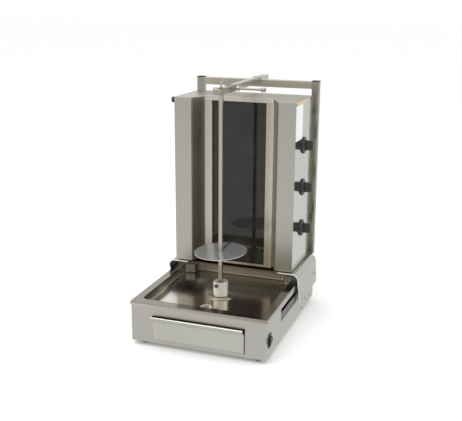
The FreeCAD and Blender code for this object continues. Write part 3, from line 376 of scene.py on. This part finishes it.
def screws_for(name, node, places, material, body):
    """One mesh of screw heads for a node, each head turned its own way."""
    bm = bmesh.new()
    shake = random.Random(name)
    for centre, way, radius, height in places:
        screw_head(bm, centre, way, radius, height, shake.uniform(0.0, pi))
    made = link_mesh(name, bm, material, 25.0)
    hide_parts(node)
    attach(made, body)
    return made


casing_low, casing_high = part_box("base_casing")
dome_r = 0.0052
dome_h = 0.003
side_spots = ((0.432, 0.023, 1.0), (0.464, 0.057, 1.5), (0.494, 0.034, 0.8), (0.541, 0.031, 0.8))
side_places = []
for y, z, scale in side_spots:
    for x, way in ((casing_high.x, (1, 0, 0)), (casing_low.x, (-1, 0, 0))):
        side_places.append(((x, casing_low.y + y, z), way, dome_r * scale, dome_h * scale))
screws_for("casing_screws", "side_screws", side_places, screw_steel, "base")

# Rocker switch. A black snap-in housing with a raised bezel and a glossy rocker whose
# face carries a plain bar at one end and a ring at the other.

bezel_black = moulded("bezel_black", (0.020, 0.020, 0.021), 0.42)
rocker_black = moulded("rocker_black", (0.016, 0.016, 0.017), 0.20, grain=0.000012)
dress(bezel_black, "switch_housing")
dress(rocker_black, "rocker")

# Drive under the pan. A cast gear case bolted under the flange, with a painted motor in a
# folded steel cradle, the rubber shaft seal and the shaft itself.

cast_case = moulded("cast_case", (0.30, 0.30, 0.30), 0.55, grain=0.0002, speck=0.2, scale=260.0)
motor_paint = moulded(
    "motor_paint", (0.055, 0.06, 0.065), 0.45, grain=0.00006, speck=0.3, scale=400.0,
)
seal_rubber = moulded("seal_rubber", (0.018, 0.018, 0.018), 0.55)
dress(cast_case, "gearbox")
dress(motor_paint, "motor")
dress(seal_rubber, "shaft_seal")
dress(inner_zinc, "motor_bracket", "drawer_runners", "output_shaft")

# Drawer. Its front is one strip of sheet rolled over at the top into a finger lip; the
# pan behind it is folded and welded and rides on two bent runners.

drawer_steel = brushed_sheet(
    "drawer_steel", (0.67, 0.66, 0.61), along_x, 0.30, edge=0.0007, wear=0.06,
)
dress(drawer_steel, "drawer_front")
dress(inner_zinc, "drawer_pan")

# Hub, its flange with four screws, and the hub bolt. The hub is turned from bright bar
# with a fine turning mark; its black socket bolt pinches the spit.


def turned_bar(name, colour, roughness, ring_scale, edge=0.0005, metal=1.0):
    """Bar turned in a lathe: fine rings round its axis and small dings."""
    material, tree, shader, place = new_finish(name)
    rings = noise_at(tree, place, (2.0, 2.0, ring_scale), 20.0, 3.0)
    dings = noise_at(tree, place, (1.0, 1.0, 1.0), 160.0, 2.0)
    tree.links.new(tint(tree, rings, shade(colour, 0.86), colour), shader.inputs["Base Color"])
    tree.links.new(spread(tree, dings, roughness - 0.04, roughness + 0.08), shader.inputs["Roughness"])
    shader.inputs["Metallic"].default_value = metal
    tree.links.new(bumped(tree, rings, 0.00002, soft_edges(tree, edge)), shader.inputs["Normal"])
    return material


hub_steel = turned_bar("hub_steel", (0.94, 0.92, 0.87), 0.36, 90.0, edge=0.0010, metal=0.45)
dress(hub_steel, "drive_hub")
flange_steel = brushed_sheet(
    "flange_steel", (0.62, 0.58, 0.49), along_x, 0.22, edge=0.0016, wear=0.06,
)
dress(flange_steel, "hub_flange")
socket_black = turned_bar("socket_black", (0.26, 0.245, 0.22), 0.30, 60.0)
dress(socket_black, "hub_bolt")
flange_low, flange_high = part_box("hub_flange")
spindle = (flange_low + flange_high) / 2
bolt_circle_r = 0.034
flange_places = []
for turn in (45, 135, 225, 315):
    x = spindle.x + bolt_circle_r * cos(radians(turn))
    y = spindle.y + bolt_circle_r * sin(radians(turn))
    flange_places.append(((x, y, flange_high.z), (0, 0, 1), dome_r, dome_h))
screws_for("hub_flange_screws", "flange_screws", flange_places, screw_steel, "base")

# Spit. A 12 mm square stainless bar, ground along its length, with a turned neck and
# spike at the top that pushes through the meat and stands in the bearing.

spit_steel = brushed_sheet(
    "spit_steel", (0.64, 0.615, 0.525), along_z, 0.28, edge=0.0010, wear=0.08,
)
dress(spit_steel, "spit")

# Meat disc and its pin. The disc is punched from 2 mm sheet and polished, with its slit
# cut to the back; the pin through the spit below it has a ball end and a pull ring.

disc_steel = brushed_sheet(
    "disc_steel", (0.72, 0.73, 0.755), along_x, 0.20, edge=0.0006, wear=0.06, metal=0.80,
)
dress(disc_steel, "meat_disc")
pin_steel = turned_bar("pin_steel", (0.58, 0.56, 0.51), 0.26, 40.0)
dress(pin_steel, "disc_pin")

# Saddle. A 3 mm sheet bent over the base like a bridge; it carries the housing and slides
# on nylon rollers that turn on studs through its side plates.

saddle_steel = brushed_sheet("saddle_steel", (0.56, 0.563, 0.53), along_y, 0.26, edge=0.0030)


def edge_highlight_band(material, front, bend_z, lean, depth):
    """Painted highlight along the front edge of the saddle, which leans back below its bend; the band
    is also made less metallic.
    """
    tree = material.node_tree
    shader = tree.nodes["Principled BSDF"]
    clean = shader.inputs["Base Color"].links[0].from_socket
    place = tree.nodes["Texture Coordinate"].outputs["Object"]
    split = add_node(tree, "ShaderNodeSeparateXYZ", inputs={"Vector": place})
    below = add_node(tree, "ShaderNodeMath", {"operation": "SUBTRACT"}, {
        0: bend_z, 1: split.outputs["Z"],
    })
    drop = add_node(tree, "ShaderNodeMath", {"operation": "MAXIMUM"}, {
        0: below.outputs[0], 1: 0.0,
    })
    line = add_node(tree, "ShaderNodeMath", {"operation": "MULTIPLY_ADD"}, {
        0: drop.outputs[0], 1: lean, 2: front,
    })
    back = add_node(tree, "ShaderNodeMath", {"operation": "SUBTRACT"}, {
        0: split.outputs["Y"], 1: line.outputs[0],
    })
    share = spread(tree, back.outputs[0], 1.0, 0.0, depth, depth + 0.001)
    # Painted highlight: a light, less metallic band along the front edge.
    highlight_colour = (0.88, 0.87, 0.82)
    tree.links.new(blended(tree, share, clean, highlight_colour), shader.inputs["Base Color"])
    tree.links.new(spread(tree, share, 1.0, 0.25, 0.0, 1.0), shader.inputs["Metallic"])


saddle_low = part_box("saddle")[0]
# Painted highlight on the saddle's front edge.
edge_highlight_band(saddle_steel, saddle_low.y, bend_z=0.171, lean=0.356, depth=0.002)
dress(saddle_steel, "saddle")
roller_nylon = moulded("roller_nylon", (0.05, 0.05, 0.05), 0.40)
dress(roller_nylon, "guide_rollers")
stud_steel = turned_bar("stud_steel", (0.50, 0.48, 0.44), 0.26, 50.0)
dress(stud_steel, "guide_studs")

# Housing. Two bent front cheeks, two side panels, a floor, a roof and a rear panel of thin
# stainless sheet, brushed upwards, screwed together along their edges.

cheek_steel = brushed_sheet("cheek_steel", (0.58, 0.568, 0.515), along_z, 0.32, edge=0.0008)
side_steel = brushed_sheet(
    "side_steel", (0.66, 0.66, 0.632), along_z, 0.12, edge=0.0008, wear=0.04, depth=0.000002,
)
roof_steel = brushed_sheet("roof_steel", (0.60, 0.575, 0.51), along_y, 0.32, edge=0.0008, wear=0.08)


def darken_angled_walls(material, wall_tone):
    """Darkens and browns the two walls beside the glass."""
    wall_x = 0.1530
    tree = material.node_tree
    shader = tree.nodes["Principled BSDF"]
    clean = shader.inputs["Base Color"].links[0].from_socket
    place = tree.nodes["Texture Coordinate"].outputs["Object"]
    side = add_node(tree, "ShaderNodeSeparateXYZ", inputs={"Vector": place}).outputs["X"]
    out = add_node(tree, "ShaderNodeMath", {"operation": "ABSOLUTE"}, {0: side})
    share = spread(tree, out.outputs[0], 1.0, 0.0, wall_x, wall_x + 0.0015)
    film = blended(tree, 1.0, clean, wall_tone, "MULTIPLY")
    tree.links.new(blended(tree, share, clean, film), shader.inputs["Base Color"])


darken_angled_walls(cheek_steel, (0.60, 0.57, 0.52))
dress(cheek_steel, "cheek_right", "cheek_left", "rear_panel")
dress(side_steel, "side_panel_right", "side_panel_left")
dress(roof_steel, "housing_top", "housing_bottom")
panel_low, panel_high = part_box("side_panel_right")
left_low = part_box("side_panel_left")[0]
panel_places = []
screw_in = 0.006
screw_back = 0.0308
head_r = 0.004
head_h = 0.0022
rows = (panel_low.z + screw_in, panel_high.z - screw_in)
for y in (panel_low.y + screw_in, panel_high.y - screw_back):
    for z in rows:
        panel_places.append(((panel_high.x, y, z), (1, 0, 0), head_r, head_h))
        if y > panel_low.y + screw_back or z < rows[1]:
            panel_places.append(((left_low.x, y, z), (-1, 0, 0), head_r, head_h))
screws_for("housing_screws", "panel_screws", panel_places, screw_steel, "carriage")

# Glass frame, glass and what is behind it. The frame is folded stainless with a straw tint
# from the heat; the glass is dark tinted ceramic over three heater rods on fibre boards.


def heat_tinted(name, light, straw, roughness):
    """Brushed sheet that the heat has turned straw yellow along the right of the glass, with painted
    light on the top rail.
    """
    rail_z = 0.7590
    stile_in_x = 0.088
    stile_out_x = 0.114
    material, tree, shader, place = new_finish(name)
    split = add_node(tree, "ShaderNodeSeparateXYZ", inputs={"Vector": place})
    side = split.outputs["X"]
    rail = spread(tree, split.outputs["Z"], 0.0, 1.0, rail_z, rail_z + 0.001)
    upright = noise_at(tree, place, along_z, 16.0, 4.0)
    lines = blended(tree, rail, upright, noise_at(tree, place, along_x, 16.0, 4.0))
    heat = noise_at(tree, place, (6.0, 6.0, 1.2), 3.0, 3.0)
    clean = tint(tree, lines, shade(light, 0.93), light)
    stile = add_node(tree, "ShaderNodeMath", {"operation": "MULTIPLY"}, {
        0: spread(tree, side, 0.0, 1.0, stile_in_x, stile_in_x + 0.006),
        1: spread(tree, side, 1.0, 0.0, stile_out_x - 0.008, stile_out_x),
    })
    share = add_node(tree, "ShaderNodeMath", {"operation": "MULTIPLY"}, {
        0: stile.outputs[0], 1: spread(tree, heat, 0.45, 0.95, 0.35, 0.60),
    })
    heated = blended(tree, share.outputs[0], clean, straw)
    # Painted light: the top rail is set a tenth lighter than the rest of the frame.
    rail_with_painted_light = blended(tree, rail, heated, shade(light, 1.10))
    tree.links.new(rail_with_painted_light, shader.inputs["Base Color"])
    gloss = spread(tree, lines, roughness - 0.04, roughness + 0.05)
    tree.links.new(gloss, shader.inputs["Roughness"])
    shader.inputs["Metallic"].default_value = 1.0
    normal = bumped(tree, lines, 0.000003, soft_edges(tree, 0.0009))
    tree.links.new(normal, shader.inputs["Normal"])
    return material


frame_steel = heat_tinted("frame_steel", (0.635, 0.612, 0.527), (0.58, 0.51, 0.33), 0.28)
dress(frame_steel, "glass_frame")


def dark_glass(name):
    """Black ceramic glass: a mirror for its surroundings, with a trace of wiping."""
    material, tree, shader, place = new_finish(name)
    wipes = noise_at(tree, place, (2.0, 2.0, 7.0), 5.0, 5.0)
    dust = noise_at(tree, place, (1.0, 1.0, 1.0), 60.0, 3.0)
    body = tint(tree, wipes, (0.011, 0.010, 0.009), (0.020, 0.0185, 0.017))
    tree.links.new(body, shader.inputs["Base Color"])
    tree.links.new(spread(tree, wipes, 0.03, 0.09, 0.35, 0.75), shader.inputs["Roughness"])
    shader.inputs["IOR"].default_value = 1.53
    shader.inputs["Specular Tint"].default_value = (1.0, 0.94, 0.90, 1.0)
    tree.links.new(bumped(tree, dust, 0.000002, soft_edges(tree, 0.0004)), shader.inputs["Normal"])
    return material


dress(dark_glass("tinted_glass"), "glass_panel")
board_fibre = moulded(
    "board_fibre", (0.66, 0.64, 0.58), 0.9, grain=0.0006, speck=0.12, scale=140.0,
)
coil_rod = turned_bar("coil_rod", (0.16, 0.12, 0.095), 0.5, 10.0)
dress(board_fibre, "insulation_boards")
dress(coil_rod, "heater_coils")
dress(inner_zinc, "heater_pan", "glass_clips")

# Knobs, their printed scales and the regulators. Each knob is moulded black plastic with a
# round skirt, a straight grip bar and a white index line; the scale is printed on the panel.

knob_black = moulded("knob_black", (0.026, 0.026, 0.027), 0.36, grain=0.00003)
mark_white = moulded("mark_white", (0.74, 0.74, 0.72), 0.50, grain=0.00001)
scale_ink = moulded("scale_ink", (0.16, 0.16, 0.17), 0.60, grain=0.00001)


def soft_block(bm, low, high, edge, steps, taper=1.0):
    """Block with every edge rounded, narrowed towards its far end in X when it tapers."""
    made = bmesh.ops.create_cube(bm, size=1.0)["verts"]
    low = Vector(low)
    size = Vector(high) - low
    for v in made:
        if v.co.x > 0:
            v.co.y *= taper
            v.co.z *= taper
        v.co = Vector([low[i] + (v.co[i] + 0.5) * size[i] for i in range(3)])
    edges = {e for v in made for e in v.link_edges}
    bmesh.ops.bevel(
        bm, geom=list(edges), offset=edge, offset_type="OFFSET", segments=steps,
        profile=0.5, affect="EDGES",
    )


def knob_cap(node, body, back, front, y, z):
    """Skirted cap with its shank and a straight grip bar."""
    skirt_r = 0.029
    skirt_t = 0.006
    shank_r = 0.0030
    shank_l = 0.0248
    grip_half_w = 0.0065
    grip_half_h = 0.0175
    bm = bmesh.new()
    profile = [
        (shank_r, -shank_l), (shank_r, 0.0), (skirt_r - 0.001, 0.0),
        (skirt_r, 0.0010), (skirt_r, 0.0032), (skirt_r - 0.0008, 0.0046), (skirt_r - 0.0030, skirt_t),
        (0.0205, skirt_t), (0.0195, skirt_t - 0.0008), (0.0185, skirt_t), (0.0150, skirt_t + 0.0016),
        (0.0, skirt_t + 0.0020),
    ]
    turned(bm, profile, (back, y, z), (1, 0, 0), steps=96, flute=0.0009, flutes=32, fluted=(3, 4, 5))
    soft_block(
        bm, (back + 0.003, y - grip_half_w, z - grip_half_h),
        (front, y + grip_half_w, z + grip_half_h), edge=0.0026, steps=4, taper=0.90,
    )
    knob = link_mesh(node + "_cap", bm, knob_black, 35.0)
    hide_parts(node)
    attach(knob, body)

    bm = bmesh.new()
    line_half_w = 0.0008
    dot_half_w = 0.0009
    soft_block(
        bm, (front - 0.0006, y - line_half_w, z + 0.002), (front, y + line_half_w, z + 0.0145),
        edge=0.0002, steps=1,
    )
    soft_block(
        bm, (back + skirt_t - 0.001, y - dot_half_w, z + 0.0212),
        (back + skirt_t + 0.0002, y + dot_half_w, z + 0.0262), edge=0.0002, steps=1,
    )
    line = link_mesh(node + "_index", bm, mark_white)
    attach(line, body)


def printed_scale(node, x, y, z):
    """Ring of ticks, printed on the panel three quarters of the way round a knob."""
    scale_r = 0.0345
    print_t = 0.00012
    half_w = 0.0004
    ticks = 13
    tick_step = 22.5
    bm = bmesh.new()
    for i in range(ticks):
        turn = radians(90 - tick_step * i)
        long = 0.0042 if i % 4 == 0 else 0.0024
        way = Vector((0.0, -cos(turn), sin(turn)))
        across = Vector((0.0, sin(turn), cos(turn))) * half_w
        start = Vector((x, y, z)) + way * scale_r
        end = start + way * long
        ring = [start - across, start + across, end + across, end - across]
        lifted = [c + Vector((print_t, 0.0, 0.0)) for c in ring]
        a = [bm.verts.new(c) for c in ring]
        b = [bm.verts.new(c) for c in lifted]
        bm.faces.new(b)
        bm.faces.new(a[::-1])
        for k in range(4):
            n = (k + 1) % 4
            bm.faces.new((a[k], a[n], b[n], b[k]))
    marks = link_mesh(node + "_scale", bm, scale_ink)
    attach(marks, "carriage")


def printed_digits(node, x, y, z):
    """The digits 0 to 3, printed outside the ticks a quarter turn apart."""
    digit_r = 0.0435
    digit_h = 0.0072
    half_t = 0.00006
    upright = Matrix(((0, 0, 1, 0), (1, 0, 0, 0), (0, 1, 0, 0), (0, 0, 0, 1)))
    for i, digit in enumerate("0123"):
        turn = radians(90 - 90 * i)
        curve = bpy.data.curves.new(node + "_digit_" + digit, "FONT")
        curve.body = digit
        curve.size = digit_h
        curve.extrude = half_t
        curve.align_x = "CENTER"
        curve.align_y = "CENTER"
        words = bpy.data.objects.new(curve.name, curve)
        bpy.context.scene.collection.objects.link(words)
        way = Vector((0.0, -cos(turn), sin(turn)))
        centre = Vector((x + half_t, y, z)) + way * digit_r
        words.matrix_world = Matrix.Translation(centre) @ upright
        curve.materials.append(scale_ink)
        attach(words, "carriage")


play = 0.0003
for node, body in (("knob_bottom", "knob_low"), ("knob_middle", "knob_mid"), ("knob_top", "knob_high")):
    low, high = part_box(node)
    y = (low.y + high.y) / 2
    z = (low.z + high.z) / 2
    knob_cap(node, body, panel_high.x + play, high.x, y, z)
    printed_scale(node, panel_high.x, y, z)
    printed_digits(node, panel_high.x, y, z)
dress(moulded("regulator_body", (0.55, 0.53, 0.48), 0.6), "regulators")

# Bare plates on the right side. Thin film stuck to the panel, white below and amber in the
# strip above, both left plain.


def film_plate(name):
    """Printed film: white low down and amber above, with faint bubbles under it."""
    strip_z = 0.7595
    material, tree, shader, place = new_finish(name)
    blots = noise_at(tree, place, (1.0, 1.0, 1.0), 90.0, 3.0)
    height = add_node(tree, "ShaderNodeSeparateXYZ", inputs={"Vector": place}).outputs["Z"]
    upper = spread(tree, height, 0.0, 1.0, strip_z, strip_z + 0.0005)
    white = tint(tree, blots, (0.76, 0.77, 0.76), (0.83, 0.84, 0.83))
    amber = tint(tree, blots, (0.62, 0.47, 0.15), (0.70, 0.54, 0.19))
    tree.links.new(blended(tree, upper, white, amber), shader.inputs["Base Color"])
    tree.links.new(spread(tree, blots, 0.30, 0.42), shader.inputs["Roughness"])
    tree.links.new(bumped(tree, blots, 0.00003, soft_edges(tree, 0.0002)), shader.inputs["Normal"])
    return material


dress(film_plate("film_plate"), "bare_plates")

# Thumb screw on the left side. A black moulded head with a fluted grip and a plain shank,
# which holds the upper front corner of the left panel.

thumb_low, thumb_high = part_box("thumb_screw")
grip_black = moulded("grip_black", (0.020, 0.020, 0.020), 0.48)


def fluted_grip(bm, seat, way, radius, height, flutes, shank_r, shank_l):
    """Round grip with rounded rims and a fluted side, on a plain shank."""
    rim = 0.0014
    profile = [
        (0.0, -shank_l), (shank_r, -shank_l), (shank_r, 0.0), (radius - rim, 0.0),
        (radius - 0.0004, 0.0004), (radius, rim), (radius, height - rim),
        (radius - 0.0004, height - 0.0004), (radius - rim, height), (radius * 0.55, height),
        (radius * 0.5, height - 0.0006), (0.0, height - 0.0006),
    ]
    turned(bm, profile, seat, way, flutes * 6, flute=0.0008, flutes=flutes, fluted=(5, 6))


thumb_h = 0.012
thumb_seat = (thumb_low.x + thumb_h, (thumb_low.y + thumb_high.y) / 2, (thumb_low.z + thumb_high.z) / 2)
bm = bmesh.new()
fluted_grip(
    bm, thumb_seat, (-1, 0, 0), radius=0.010, height=thumb_h, flutes=16, shank_r=0.0025, shank_l=0.0138,
)
thumb_knob = link_mesh("thumb_knob", bm, grip_black, 30.0)
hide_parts("thumb_screw")
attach(thumb_knob, "thumb")

# Posts, caps, stays and crossbar. Square stainless tube, satin finished with faint clouds from handling
# and a brown tone of painted reflection, darker on the posts than on the crossbar, welded into a frame
# behind the housing; moulded caps close the tops.

# Painted reflection: the posts and stays get a darker brown than the crossbar.
post_tube_painted_reflection = brushed_sheet(
    "post_tube_painted_reflection", (0.45, 0.435, 0.37), along_z, 0.28, edge=0.0022, wear=0.08,
)
bar_tube_painted_reflection = brushed_sheet("bar_tube_painted_reflection", (0.63, 0.595, 0.50), along_x, 0.36, edge=0.0022, wear=0.08)
dress(post_tube_painted_reflection, "posts", "post_stays")
dress(bar_tube_painted_reflection, "crossbar")
cap_black = moulded("cap_black", (0.020, 0.020, 0.021), 0.45, edge=0.0012)
dress(cap_black, "post_caps")
weld_steel = turned_bar("weld_steel", (0.42, 0.38, 0.32), 0.34, 20.0)


def weld_bead(bm, start, end, radius, scallops):
    """Row of overlapping ripples, as a hand weld leaves them."""
    start = Vector(start)
    end = Vector(end)
    run = end - start
    place = Matrix.Translation(start) @ turn_to(run.normalized())
    steps = scallops * 4
    sides = 8
    end_swell = 0.25
    rows = []
    for i in range(steps + 1):
        share = i / steps
        swell = 0.72 + 0.28 * abs(sin(pi * scallops * share))
        if i in (0, steps):
            swell = end_swell
        r = radius * swell
        along = run.length * share
        row = []
        for k in range(sides):
            angle = 2 * pi * k / sides
            row.append(bm.verts.new(place @ Vector((r * cos(angle), r * sin(angle), along))))
        rows.append(row)
    for a, b in zip(rows, rows[1:]):
        for k in range(sides):
            n = (k + 1) % sides
            bm.faces.new((a[k], a[n], b[n], b[k]))
    bm.faces.new(rows[0][::-1])
    bm.faces.new(rows[-1])


bar_low, bar_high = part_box("crossbar")
post_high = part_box("posts")[1]
tube_side = 0.025
bar_bottom = post_high.z - tube_side
bead_r = 0.0011
bead_sunk = 0.0004
bead_gap = 0.001
scallops = 9
bm = bmesh.new()
for x in (bar_low.x, bar_high.x):
    for y in (bar_low.y + bead_sunk, bar_high.y - bead_sunk):
        foot = (x, y, bar_bottom + bead_gap)
        head = (x, y, post_high.z - bead_gap)
        weld_bead(bm, foot, head, bead_r, scallops)
    front = (x, bar_low.y + bead_gap, bar_bottom)
    back = (x, bar_high.y - bead_gap, bar_bottom)
    weld_bead(bm, front, back, bead_r, scallops)
frame_welds = link_mesh("frame_welds", bm, weld_steel, 60.0)
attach(frame_welds, "carriage")

# Arm and clamp screw. A rectangular tube that slides through the crossbar; a boss near its
# front takes a long rod with a knurled steel grip, which locks the yoke in the arm.

arm_steel = brushed_sheet("arm_steel", (0.62, 0.61, 0.57), along_y, 0.30, edge=0.0014, wear=0.06)
dress(arm_steel, "arm_tube")
grip_steel = turned_bar("grip_steel", (0.44, 0.42, 0.37), 0.38, 30.0)
clamp_low, clamp_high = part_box("clamp_screw")
clamp_y = (clamp_low.y + clamp_high.y) / 2
clamp_z = (clamp_low.z + clamp_high.z) / 2
rod_steel = brushed_sheet("rod_steel", (0.44, 0.42, 0.37), along_x, 0.34)
rod_r = 0.004
rod_edge = 0.0004
grip_l = 0.016
grip_x = clamp_high.x - grip_l
rod_l = grip_x - clamp_low.x
rod_profile = [
    (0.0, 0.0), (rod_r - rod_edge, 0.0), (rod_r, rod_edge), (rod_r, rod_l), (0.0, rod_l),
]
bm = bmesh.new()
turned(bm, rod_profile, (clamp_low.x, clamp_y, clamp_z), (1, 0, 0), steps=32)
clamp_rod = link_mesh("clamp_rod", bm, rod_steel)
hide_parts("clamp_screw")
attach(clamp_rod, "clamp")
bm = bmesh.new()
fluted_grip(
    bm, (grip_x, clamp_y, clamp_z), (1, 0, 0), radius=0.0075, height=grip_l, flutes=14,
    shank_r=rod_r - 0.0003, shank_l=0.001,
)
clamp_grip = link_mesh("clamp_grip", bm, grip_steel, 30.0)
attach(clamp_grip, "clamp")

# Yoke, hinge pin, bearing block with its bronze bush, and lock screw. The block hinges up
# on the pin so that the spit lifts out; the side screw holds it on the spit's neck.

yoke_steel = brushed_sheet("yoke_steel", (0.42, 0.40, 0.35), along_y, 0.30, edge=0.0010, wear=0.08)
dress(yoke_steel, "yoke")
block_steel = brushed_sheet(
    "block_steel", (0.50, 0.475, 0.41), along_y, 0.26, edge=0.0010, wear=0.08,
)
dress(block_steel, "bearing_block")
dress(pin_steel, "hinge_pin")
dress(turned_bar("bush_bronze", (0.47, 0.33, 0.16), 0.34, 30.0), "bearing_bush")
lock_low, lock_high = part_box("lock_screw")
lock_h = 0.015
lock_seat = (lock_low.x + lock_h, (lock_low.y + lock_high.y) / 2, (lock_low.z + lock_high.z) / 2)
bm = bmesh.new()
fluted_grip(
    bm, lock_seat, (-1, 0, 0), radius=0.0085, height=lock_h, flutes=14, shank_r=0.003,
    shank_l=lock_high.x - lock_seat[0],
)
lock_knob = link_mesh("lock_knob", bm, grip_steel, 30.0)
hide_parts("lock_screw")
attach(lock_knob, "lock")

# Cord gland and terminal block at the back of the base. Both are moulded black plastic; the
# gland's nut clamps the cord where it would come out.

gland_black = moulded("gland_black", (0.021, 0.021, 0.021), 0.42)
dress(gland_black, "cable_gland")
dress(moulded("terminal_body", (0.50, 0.49, 0.45), 0.5), "terminal_block")

# Studio. A plain pale floor that runs out to white, soft light from above and both sides,
# and the camera of the photograph.

floor_half = 30.0
bm = bmesh.new()
corners = []
for x, y in ((-1, -1), (1, -1), (1, 1), (-1, 1)):
    corners.append(bm.verts.new((floor_half * x, floor_half * y, 0.0)))
bm.faces.new(corners)
floor_paint, tree, shader, place = new_finish("floor_paint")
white = (1.0, 1.0, 1.0, 1.0)
shader.inputs["Base Color"].default_value = (0.92, 0.92, 0.92, 1.0)
shader.inputs["Roughness"].default_value = 0.9
paths = add_node(tree, "ShaderNodeLightPath")
lift = add_node(tree, "ShaderNodeMath", {"operation": "MULTIPLY"}, {
    0: paths.outputs["Is Camera Ray"], 1: 0.08,
})
lifted = add_node(tree, "ShaderNodeEmission", inputs={"Color": white, "Strength": lift.outputs[0]})
even = add_node(tree, "ShaderNodeEmission", inputs={"Color": white, "Strength": 0.73})
share = add_node(tree, "ShaderNodeMath", {"operation": "MULTIPLY"}, {
    0: paths.outputs["Is Glossy Ray"], 1: 0.85,
})
seen = add_node(tree, "ShaderNodeMixShader", inputs={
    0: share.outputs[0], 1: shader.outputs["BSDF"], 2: even.outputs["Emission"],
})
both = add_node(tree, "ShaderNodeAddShader", inputs={
    0: seen.outputs["Shader"], 1: lifted.outputs["Emission"],
})
tree.links.new(both.outputs["Shader"], tree.nodes["Material Output"].inputs["Surface"])
floor = link_mesh("studio_floor", bm, floor_paint)


def studio_world(name):
    """White to the eye; mirrored, it is dim all round, lighter behind and bright above."""
    world = bpy.data.worlds.new(name)
    world.use_nodes = True
    tree = world.node_tree
    background = tree.nodes["Background"]
    mirrored = add_node(tree, "ShaderNodeLightPath").outputs["Is Glossy Ray"]
    way = add_node(tree, "ShaderNodeTexCoord").outputs["Generated"]
    split = add_node(tree, "ShaderNodeSeparateXYZ", inputs={"Vector": way})
    around = add_node(tree, "ShaderNodeMath", {"operation": "MAXIMUM"}, {
        0: spread(tree, split.outputs["Y"], 0.37, 0.84, -0.9, 0.4),
        1: spread(tree, split.outputs["Z"], 0.36, 1.0, 0.2, 0.9),
    })
    missing = add_node(tree, "ShaderNodeMath", {"operation": "SUBTRACT"}, {
        0: 1.0, 1: around.outputs[0],
    })
    dimmed = add_node(tree, "ShaderNodeMath", {"operation": "MULTIPLY"}, {
        0: mirrored, 1: missing.outputs[0],
    })
    level = add_node(tree, "ShaderNodeMath", {"operation": "SUBTRACT"}, {
        0: 1.0, 1: dimmed.outputs[0],
    })
    background.inputs["Color"].default_value = white
    tree.links.new(level.outputs[0], background.inputs["Strength"])
    return world


bpy.context.scene.world = studio_world("studio_world")


def soft_lamp(name, place, aim, width, height, power):
    """Rectangular lamp that faces a point."""
    data = bpy.data.lights.new(name, "AREA")
    data.shape = "RECTANGLE"
    data.size = width
    data.size_y = height
    data.energy = power
    lamp = bpy.data.objects.new(name, data)
    bpy.context.scene.collection.objects.link(lamp)
    facing = (Vector(aim) - Vector(place)).to_track_quat("-Z", "Y").to_matrix().to_4x4()
    lamp.matrix_world = Matrix.Translation(Vector(place)) @ facing


soft_lamp("lamp_above", (-0.6, -0.6, 3.2), (0.0, 0.0, 0.3), 2.6, 2.6, 33.0)
soft_lamp("lamp_left", (-3.0, -1.6, 2.0), (0.0, 0.0, 0.4), 1.8, 2.2, 12.5)
soft_lamp("lamp_right", (3.0, 0.4, 1.8), (0.0, 0.0, 0.4), 1.8, 2.2, 14.0)

turn_left = radians(19.54)
look_down = radians(15.44)
roll = radians(0.37)
reach = 2.6329
aim = Vector((0.01796, -0.07646, 0.4120))
focal_px = 785.38
photo_w_px = 462.0
sensor_w = 36.0
to_camera = Vector((sin(turn_left) * cos(look_down), -cos(turn_left) * cos(look_down), sin(look_down)))
right = Vector((cos(turn_left), sin(turn_left), 0.0))
above = to_camera.cross(right)
right_rolled = right * cos(roll) + above * sin(roll)
above_rolled = above * cos(roll) - right * sin(roll)
lens = bpy.data.cameras.new("photo_camera")
lens.sensor_width = sensor_w
lens.lens = focal_px * sensor_w / photo_w_px
lens.dof.use_dof = False
camera = bpy.data.objects.new("photo_camera", lens)
bpy.context.scene.collection.objects.link(camera)
axes = Matrix((right_rolled, above_rolled, to_camera)).transposed()
camera.matrix_world = Matrix.Translation(aim + to_camera * reach) @ axes.to_4x4()
bpy.context.scene.camera = camera
bpy.context.scene.view_settings.view_transform = "Standard"
